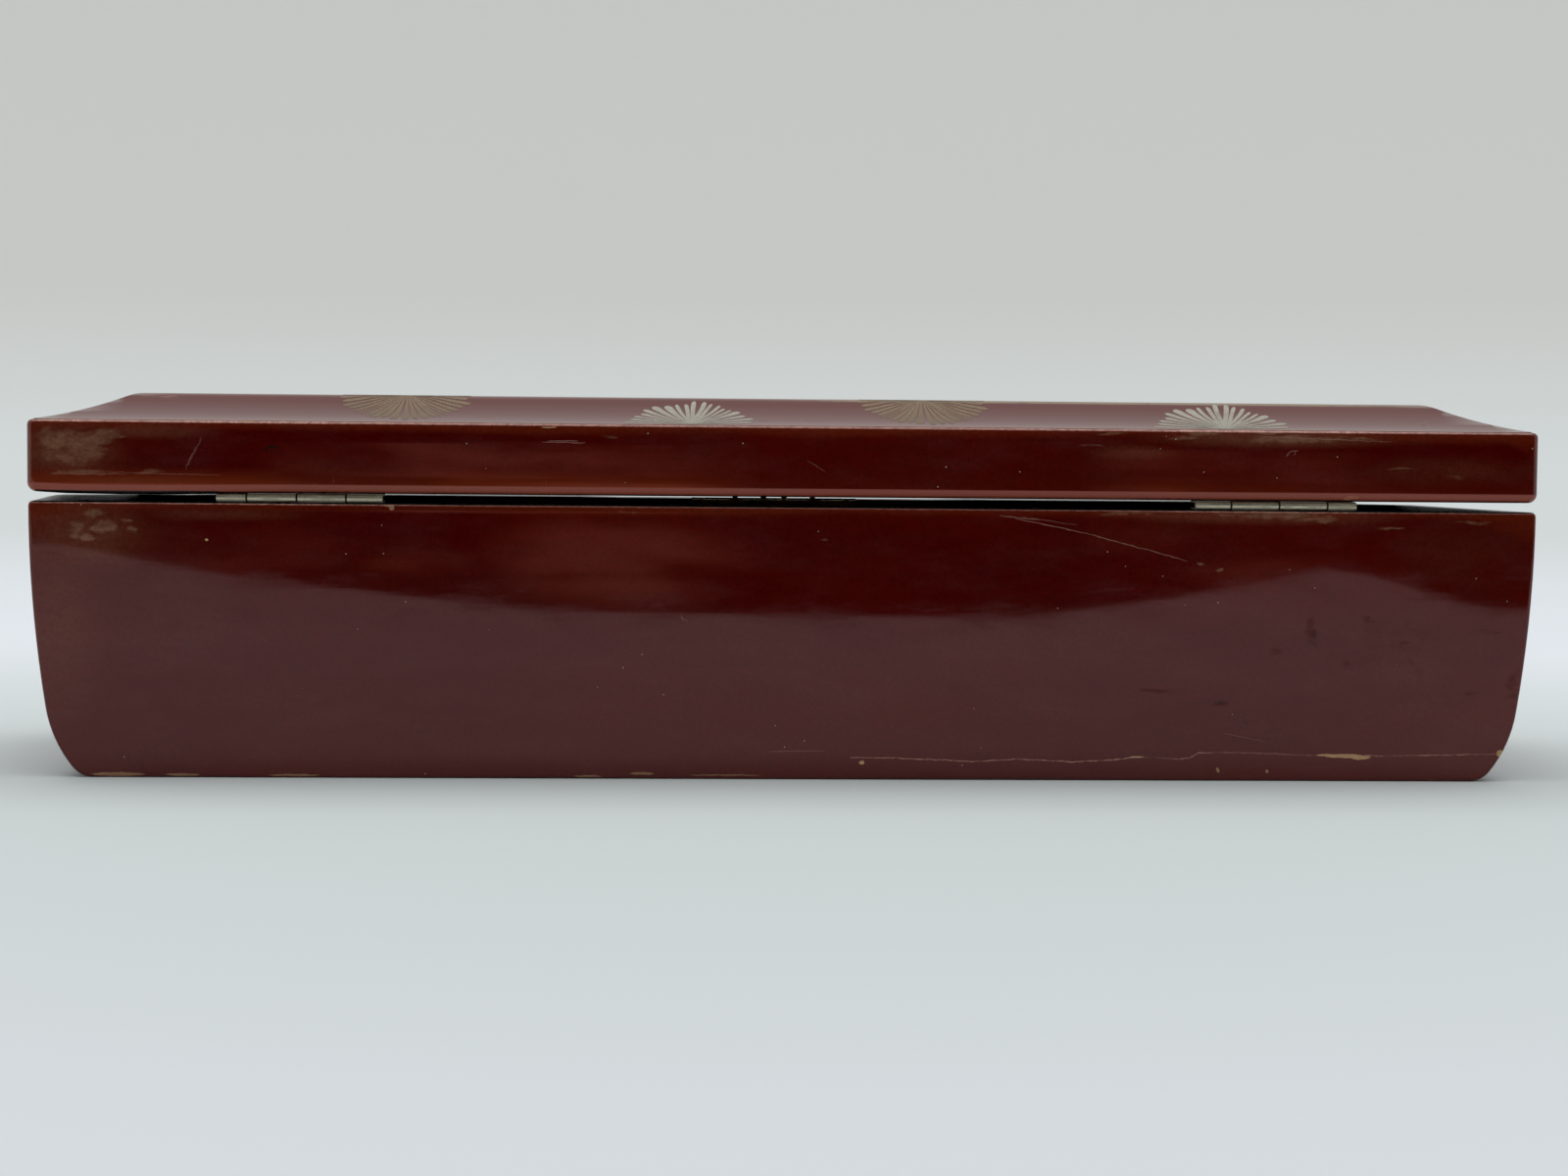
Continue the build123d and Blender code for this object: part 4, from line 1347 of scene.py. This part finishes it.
finishes[top_board] = lacquer("top board lacquer", board_marks, -10, crest_wear_and_slope_sheen)
for piece, finish in finishes.items():
    piece.data.materials.clear()
    piece.data.materials.append(finish)
print("lacquered", len(finishes), "boards")

# %% [markdown]
# ## Fans of pine needles
#
# Sprinkled gold and silver powder draws small fans of pine needles on the slopes, slightly raised,
# with polished lacquer around them. Gold fans hang from the crest, silver ones stand on the edge.
# A needle is drawn once, plain and forked, then copied, turned and joined into a fan. The fan is
# laid on the slope by moving its points, and gets its small thickness at the end.

# %% Draw a needle
NEEDLE_LENGTH = 0.95
NEEDLE_FOOT = 0.01
FORK_STEPS = (1.1, 0.085, 1.0), (1.1, 0.07, 1.05), (0.9, 0.03, 1.0), (0.35, 0.0, 0.5)


def far_end(piece):
    return max(v.co.y for v in piece.data.vertices)


def grow(piece, from_y, step, width, side=0, shift=0.0):
    """Draw an end edge out: forwards by a step, sideways by a shift, and to a new width."""
    def at_end(a, b):
        level = near(a.y, from_y, 1e-6) and near(b.y, from_y, 1e-6)
        return level and (side == 0 or (a.x + b.x) * side > 0)
    pick_edges(piece, at_end)
    bpy.ops.mesh.extrude_region_move(TRANSFORM_OT_translate={"value": (side * shift, step, 0)})
    bpy.ops.transform.resize(value=(width, 1, 1))
    leave_edit()


def needle(name, widths, forked):
    """A flat needle along +Y, one unit long and wide, with its widths at equal steps."""
    only()
    step = NEEDLE_LENGTH / (len(widths) - 1)
    bpy.ops.mesh.primitive_plane_add(size=1, location=(0, NEEDLE_FOOT + step / 2, 0))
    piece = take_new(name, (widths[0], step, 1))
    end = far_end(piece)
    pick_edges(piece, lambda a, b: near(a.y, end, 1e-6) and near(b.y, end, 1e-6))
    bpy.ops.transform.resize(value=(widths[1] / widths[0], 1, 1))
    leave_edit()
    straight = widths[1:-3] if forked else widths[1:]
    for before, after in zip(straight, straight[1:]):
        grow(piece, far_end(piece), step, after / before)
    if not forked:
        grow(piece, far_end(piece), step * 0.4, 0.5)
        return piece
    end = far_end(piece)
    pick_edges(piece, lambda a, b: near(a.y, end, 1e-6) and near(b.y, end, 1e-6))
    bpy.ops.mesh.subdivide(number_cuts=1)
    leave_edit()
    for side in (-1, 1):
        place = end
        for length, shift, width in FORK_STEPS:
            grow(piece, place, step * length, width, side, shift)
            place += step * length
    return piece


slim = (0.10, 0.22, 0.37, 0.54, 0.72, 0.88, 1.0)
broad = (0.08, 0.20, 0.34, 0.50, 0.68, 0.86, 1.0)
slim_needles = needle("slim_needle", slim, False), needle("slim_forked_needle", slim, True)
broad_needles = needle("broad_needle", broad, False), needle("broad_forked_needle", broad, True)
print("needles", [len(n.data.polygons) for n in slim_needles + broad_needles])

# %% Join needles into a fan
gold_turns = [-87, -77, -67.5, -58.5, -50, -42, -34, -26.5, -19, -11, -3, 5.5, 13.5, 21, 29, 37, 45, 53, 61.5,
              70.5, 79, 88]
gold_forks = (6, 15)
silver_turns = [-84, -73, -62, -52, -42, -32, -21, -8, 7.5, 22, 35, 46, 57, 68, 80]
silver_forks = (7, 8, 9, 10)
needle_overlap = 0.0015 * mm


def fan(name, needles, turns, forks, half_width, depth, fill, seed):
    """Needles side by side in a half circle. Each fills a share of the gap to its neighbours."""
    parts = []
    last = len(turns) - 1
    for k, turn in enumerate(turns):
        forked = k in forks
        jitter = noise.noise(Vector((seed * 3.7, k * 1.9, 0.5)))
        angle = radians(turn + 1.2 * jitter)
        length = 1 / sqrt((sin(angle) / half_width) ** 2 + (cos(angle) / depth) ** 2)
        length *= 0.97 + 0.09 * noise.noise(Vector((k * 2.3, seed * 1.1, 4.5)))
        room = radians(turns[min(k + 1, last)] - turns[max(k - 1, 0)])
        room /= 2 if 0 < k < last else 1
        spread = length * room * (fill - 0.12 * sin(angle) ** 2) * (1 + 0.2 * jitter)
        spread *= 1.4 if forked else 1
        part = copy_of(needles[forked], f"{name}_{k}")
        lift = Matrix.Translation((0, 0, needle_overlap * (k % 5)))
        size = Matrix.Diagonal((spread, length, 1, 1))
        part.data.transform(lift @ Matrix.Rotation(-angle, 4, "Z") @ size)
        parts.append(part)
    only(parts[0])
    for part in parts:
        part.select_set(True)
    bpy.ops.object.join()
    made = bpy.context.object
    made.name = made.data.name = name
    return made


gold_fan = fan("gold_fan", broad_needles, gold_turns, gold_forks, 13.4 * mm, 15.6 * mm, 0.72, 1)
silver_fan = fan("silver_fan", slim_needles, silver_turns, silver_forks, 13.0 * mm, 14.2 * mm, 0.66, 2)
print("fans", len(gold_fan.data.polygons), len(silver_fan.data.polygons), "faces")

# %% Lay a fan on the lid
edge_margin = 0.35 * mm
powder_lift = 0.028 * mm
powder_thickness = 0.06 * mm


def board_height(x, y):
    """Height of the top board's sunk surface at a place."""
    inward = min(board_high.x - abs(x), board_high.y - abs(y))
    place = Vector((x, y, rail_top_z + cove_edge + slope_height(inward)))
    return place.z - hollowing(place)


def lay_fan(pattern, name, start, along, size=1.0):
    """Copy a fan onto the lid: its foot at start, its middle needle along a direction. Short faces
    follow the rounded crest, so none of them dips under the lacquer."""
    piece = copy_of(pattern, name)
    edit_all(piece)
    bpy.ops.mesh.subdivide(number_cuts=1)
    leave_edit()
    limit_x, limit_y = board_high.x - edge_margin, board_high.y - edge_margin
    across = Vector((along.y, -along.x))
    for vertex in piece.data.vertices:
        flat = start + across * vertex.co.x * size + along * vertex.co.y * size
        flat.y = max(-limit_y, min(limit_y, flat.y))
        flat.x = max(-limit_x, min(limit_x, flat.x))
        vertex.co = (flat.x, flat.y, board_height(flat.x, flat.y) + powder_lift + vertex.co.z)
    only(piece)
    modifier = piece.modifiers.new("powder thickness", "SOLIDIFY")
    modifier.thickness = powder_thickness
    modifier.offset = -1
    bpy.ops.object.modifier_apply(modifier=modifier.name)
    edit_all(piece)
    bpy.ops.mesh.normals_make_consistent(inside=False)
    leave_edit()
    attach(piece, "lid")
    return piece


# %% Places of the fans
crest_inward = crest_run - 0.4 * mm
edge_inward = 1.0 * mm
outward, towards_field = Vector((0, 1)), Vector((0, -1))
back_gold_pixels = 416, 940
back_silver_pixels = (705, 1.0), (1251, 1.08)
gold_fans = []
silver_fans = []


def on_slope(px, py, inward):
    """Middle of a fan on the back slope from its pixel, and how far it stands in from the edge."""
    y = board_high.y - inward
    return Vector((on_back(px, py, y).x * mm, y))


for k, px in enumerate(back_gold_pixels):
    place = on_slope(px, 408, crest_inward)
    gold_fans.append(lay_fan(gold_fan, f"gold_fan_back_{k + 1}", place, outward))
for k, (px, size) in enumerate(back_silver_pixels):
    place = on_slope(px, 430, edge_inward)
    silver_fans.append(lay_fan(silver_fan, f"silver_fan_back_{k + 1}", place, towards_field, size))
for k, x in enumerate((-84, 26, 108)):
    place = Vector((x * mm, -board_high.y + crest_inward))
    gold_fans.append(lay_fan(gold_fan, f"gold_fan_front_{k + 1}", place, towards_field))
for k, x in enumerate((-34, 72)):
    place = Vector((x * mm, -board_high.y + edge_inward))
    silver_fans.append(lay_fan(silver_fan, f"silver_fan_front_{k + 1}", place, outward))
for k, side in enumerate((-1, 1)):
    place = Vector((side * (board_high.x - crest_inward), 6 * mm * side))
    gold_fans.append(lay_fan(gold_fan, f"gold_fan_end_{k + 1}", place, Vector((side, 0))))
gold_places = (-96, -6, 40), (-22, 12, 150), (58, -8, 300)
silver_places = (-58, 4, 215), (18, -12, 20), (98, 6, 120)
for pattern, fans, places in ((gold_fan, gold_fans, gold_places), (silver_fan, silver_fans, silver_places)):
    for k, (x, y, turn) in enumerate(places):
        facing = Vector((sin(radians(turn)), cos(radians(turn))))
        fans.append(lay_fan(pattern, f"{pattern.name}_top_{k + 1}", Vector((x, y)) * mm, facing))
for pattern in (*slim_needles, *broad_needles, gold_fan, silver_fan):
    bpy.data.objects.remove(pattern)
print("laid", len(gold_fans), "gold fans and", len(silver_fans), "silver ones")

# %% [markdown]
# ## Gold and silver powder
#
# The powder is fine metal grains under a thin polished lacquer, so it shows as a warm or a cool
# satin with tiny glints. Age has browned it and worn it through in places.

# %% Build the powder finishes
WORN_THROUGH = (0.055, 0.014, 0.008, 1)


def powder(name, bright, dull, worn):
    material, shader, place = new_material(name)
    point = scaled(place, 1 / mm)
    grains = cloud(point, (0.16, 0.16, 0.16), 2.0)
    age = cloud(point, (5, 5, 5), 4.0, 0.6, shift=3.0)
    colour = blend(ramp(grains, 0.3, 0.7), dull, bright)
    connect(shader, {
        "Base Color": blend(ramp(age, 0.5, 0.8, 0.0, worn), colour, WORN_THROUGH),
        "Roughness": ramp(grains, 0.2, 0.8, 0.62, 0.42),
        "Metallic": ramp(age, 0.5, 0.8, 0.75, 0.3),
        "Normal": bump(grains, 0.35, 0.03),
    })
    return material


gold_powder = powder("gold powder", (0.235, 0.172, 0.108, 1), (0.150, 0.103, 0.064, 1), 0.5)
silver_powder = powder("silver powder", (0.43, 0.415, 0.36, 1), (0.27, 0.258, 0.215, 1), 0.45)
for pieces, finish in ((gold_fans, gold_powder), (silver_fans, silver_powder)):
    for piece in pieces:
        piece.data.materials.append(finish)
print("powder on", len(gold_fans) + len(silver_fans), "fans")

# %% [markdown]
# ## Aged metals
#
# The hinges and the lock keep the shapes of the model and get worn metal finishes. Handled metal is
# not evenly dull: it has fine scratches, darker grime in broad patches, and brighter rubbed spots.

# %% Painted shade and grime round the knuckles
# The dark colour of the painted shade and of the grime.
GRIME_AND_SHADE = (0.016, 0.013, 0.010, 1)
hinge_low, hinge_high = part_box("left_hinge_pin")
hinge_z = (hinge_low.z + hinge_high.z) / 2
seam_pixels = 251.2, 302.4, 352.9, 1256.8, 1305.9, 1355.0
knuckle_seams = [on_back(px, 509, half_depth).x for px in seam_pixels]


def knuckle_shade_and_grime(point):
    """Painted shade in the seams between knuckles and under the barrels, and grime in small pits."""
    axes = axes_of(point)
    # Painted shade under the barrels.
    shade_and_grime = ramp(axes["Z"], hinge_z / mm - 0.5, hinge_z / mm - 1.0, 0.0, 0.9)
    shade_and_grime = times(shade_and_grime, maths("LESS_THAN", half_depth / mm - 1.2, axes["Y"]))
    # Painted shade in the seams between knuckles.
    for seam in knuckle_seams:
        shade_and_grime = larger(shade_and_grime, ramp(distance_of(axes["X"], seam), 0.26, 0.12))
    # Grime in small pits.
    return larger(shade_and_grime, ramp(cloud(point, (0.5, 0.5, 0.35), 3.0, 0.6, shift=14.0), 0.66, 0.72, 0.0, 0.8))


# %% Build the metals
def aged_metal(name, bright, tarnish, scratch_size, rough, tarnished, shade_and_grime=None):
    material, shader, place = new_material(name)
    point = scaled(place, 1 / mm)
    patches = cloud(point, (3.5, 2.5, 2.5), 5.0, 0.6)
    scratches = cloud(point, scratch_size, 3.0, 0.6, shift=7.0)
    fine = cloud(point, tuple(s * 0.35 for s in scratch_size), 2.0, shift=2.0)
    colour = blend(ramp(patches, 0.38, 0.72, 0.0, tarnished), bright, tarnish)
    lines = ramp(scratches, 0.52, 0.64)
    colour = blend(times(lines, 0.35), colour, tarnish)
    colour = blend(ramp(fine, 0.6, 0.75, 0.0, 0.3), colour, bright)
    # The hinges' nickel also gets painted shade in its seams and under its barrels, and grime in pits.
    if shade_and_grime:
        colour = blend(shade_and_grime(point), colour, GRIME_AND_SHADE)
    connect(shader, {
        "Base Color": colour,
        "Roughness": plus(times(ramp(patches, 0.3, 0.7), 0.25), rough),
        "Metallic": ramp(patches, 0.45, 0.75, 1.0, 0.7),
        "Normal": bump(plus(times(lines, -0.6), fine), 0.3, 0.02),
    })
    return material


NICKEL, DULL_NICKEL = (0.60, 0.56, 0.43, 1), (0.30, 0.27, 0.19, 1)
BRASS, DULL_BRASS = (0.46, 0.32, 0.13, 1), (0.14, 0.085, 0.035, 1)
STEEL, DULL_STEEL = (0.24, 0.25, 0.28, 1), (0.06, 0.055, 0.07, 1)
metals = {
    "aged_nickel": aged_metal("aged nickel", NICKEL, DULL_NICKEL, (0.12, 1.6, 1.6), 0.42, 0.6, knuckle_shade_and_grime),
    "aged_brass": aged_metal("aged brass", BRASS, DULL_BRASS, (1.8, 0.14, 0.6), 0.34, 0.85),
    "spring_steel": aged_metal("spring steel", STEEL, DULL_STEEL, (2.0, 0.2, 0.2), 0.30, 0.8),
}
for part in frame["record"]["subparts"]:
    if part["material_slot"] in metals:
        frame["nodes"][part["node"]].data.materials[0] = metals[part["material_slot"]]
print("metal finishes:", list(metals))

# %% [markdown]
# ## Stage
#
# A pale floor that curves up into a pale wall all round, so that no horizon shows from any side.
# The paper glows a little, more so away from the box, as a backdrop does under its own lamps.

# %% Pale paper
BLACK = (0, 0, 0, 1)
paper, shader, place = new_material("pale paper")
distance = vectors("LENGTH", vectors("MULTIPLY", place, (1, 1, 0)), number=True)
paper_glow = blend(ramp(distance, 0.15, 0.45), BLACK, (0.11, 0.10, 0.14, 1))
paper_glow = blend(ramp(distance, 0.5, 1.8), paper_glow, (0.20, 0.20, 0.20, 1))
paper_glow = blend(ramp(axes_of(place)["Z"], 0.04, 0.27), paper_glow, (0.125, 0.10, 0.078, 1))
connect(shader, {
    "Base Color": (0.69, 0.755, 0.775, 1), "Roughness": 1.0, "Specular IOR Level": 0.0,
    "Emission Color": paper_glow, "Emission Strength": 1.0,
})
print("made", paper.name)

# %% Floor and wall
floor_radius = 1.8
wall_radius = 0.9
wall_steps = 12
only()
bpy.ops.mesh.primitive_circle_add(vertices=96, radius=floor_radius, fill_type="NGON", location=(0, 0, 0))
floor = bpy.context.object
floor.name = "floor"
pick_faces(floor, lambda face: True)
last_angle = 0.0
for k in range(1, wall_steps + 1):
    angle = pi / 2 * k / wall_steps
    rise = wall_radius * (cos(last_angle) - cos(angle))
    widening = (floor_radius + wall_radius * sin(angle)) / (floor_radius + wall_radius * sin(last_angle))
    bpy.ops.mesh.extrude_region_move(TRANSFORM_OT_translate={"value": (0, 0, rise)})
    bpy.ops.transform.resize(value=(widening, widening, 1))
    last_angle = angle
bpy.ops.mesh.delete(type="ONLY_FACE")
only(floor)
bpy.ops.object.shade_smooth()
floor.data.materials.append(paper)
print("stage", [round(c, 2) for c in floor.dimensions])

# %% [markdown]
# ## Light
#
# Plain soft studio light: one large soft light overhead and the pale surroundings. Gloss needs
# something dark to reflect too, or the lacquer looks milky, so a dark card stands behind the
# camera, as a photographer would put it. Only reflections see it.

# %% Soft light and surroundings
LAMP_WHITE = (1.0, 0.985, 0.96)
soft_light_data = bpy.data.lights.new("soft light", "AREA")
soft_light_data.shape = "RECTANGLE"
soft_light_data.size = 1.6
soft_light_data.size_y = 1.2
soft_light_data.energy = 9.0
soft_light_data.color = LAMP_WHITE
soft_light = bpy.data.objects.new("soft light", soft_light_data)
soft_light.location = (0.0, -0.3, 1.25)
bpy.context.scene.collection.objects.link(soft_light)

world = bpy.data.worlds.new("surroundings")
bpy.context.scene.world = world
world.use_nodes = True
background = world.node_tree.nodes["Background"]
background.inputs["Color"].default_value = (*LAMP_WHITE, 1)
background.inputs["Strength"].default_value = 0.55
print("one soft light and", world.name)

# %% Dark card behind the camera
card_y = 0.626
card_half_width = 1.2
card_top = 1.6
lower_edge_pixels = [
    (30, 553), (90, 560), (150, 572), (220, 585), (300, 597), (360, 603), (430, 612), (520, 622), (600, 629),
    (700, 631), (860, 631), (1000, 630), (1060, 628), (1130, 619), (1200, 610), (1260, 601), (1300, 594),
    (1350, 583), (1400, 590), (1440, 601), (1480, 614), (1530, 622), (1568, 622),
]


def behind_camera(px, py):
    """Where a card behind the camera is met by the eye that looks at this pixel of the flat back."""
    place = on_back(px, py, half_depth) * mm
    share = (card_y - place.y) / (camera_place.y - place.y)
    return place.x + share * (place.x - camera_place.x), place.z + share * (place.z - camera_place.z)


edge_points = [behind_camera(*pixel) for pixel in reversed(lower_edge_pixels)]
edge_points = [(-card_half_width, edge_points[0][1]), *edge_points, (card_half_width, edge_points[-1][1])]
corners = [(x, card_y, z) for x, z in edge_points] + [(x, card_y, card_top) for x, z in reversed(edge_points)]
card_mesh = bpy.data.meshes.new("dark_card")
card_mesh.from_pydata(corners, [], [list(range(len(corners)))])
dark_card = bpy.data.objects.new("dark_card", card_mesh)
bpy.context.scene.collection.objects.link(dark_card)
dark_card.visible_camera = False
dark_card.visible_diffuse = False
dark_card.visible_shadow = False
dark_card.visible_transmission = False
print("card with", len(corners), "corners")

# %% Faint glow on the card
glow_pixels = [
    (625, 575, 165, 62, 0.9), (520, 470, 280, 50, 0.9), (250, 562, 130, 40, 0.4), (430, 577, 80, 18, 0.5),
    (1160, 545, 70, 30, 0.35), (1330, 588, 150, 22, 0.55), (1200, 475, 110, 30, 0.45),
    (1350, 480, 120, 30, 0.3), (110, 590, 120, 25, 0.5), (340, 470, 90, 22, 0.7), (650, 470, 90, 24, 0.8),
]
card_finish, shader, place = new_material("dark card")
bench.nodes.remove(shader)
folds = cloud(place, (0.075, 0.1, 0.010), 4.0, shift=3.0)
glow_spots = []
for px, py, half_width, half_height, strength in glow_pixels:
    x, z = behind_camera(px, py)
    corner_x, corner_z = behind_camera(px + half_width, py + half_height)
    glow_spots.append(((x, card_y, z), (abs(corner_x - x), 1.0, abs(corner_z - z)), strength))
glow = times(draw_spots(place, glow_spots, 0.6), ramp(folds, 0.38, 0.58, 0.2, 1.0))
glow = plus(times(glow, 0.62), 0.002)
card_light = add("Emission", {"Color": (1.0, 0.42, 0.30, 1), "Strength": glow}).outputs[0]
connect(bench.nodes["Material Output"], {"Surface": card_light})
card_mesh.materials.append(card_finish)
bpy.context.scene.view_settings.view_transform = "Standard"
print("glow from", len(glow_spots), "spots")
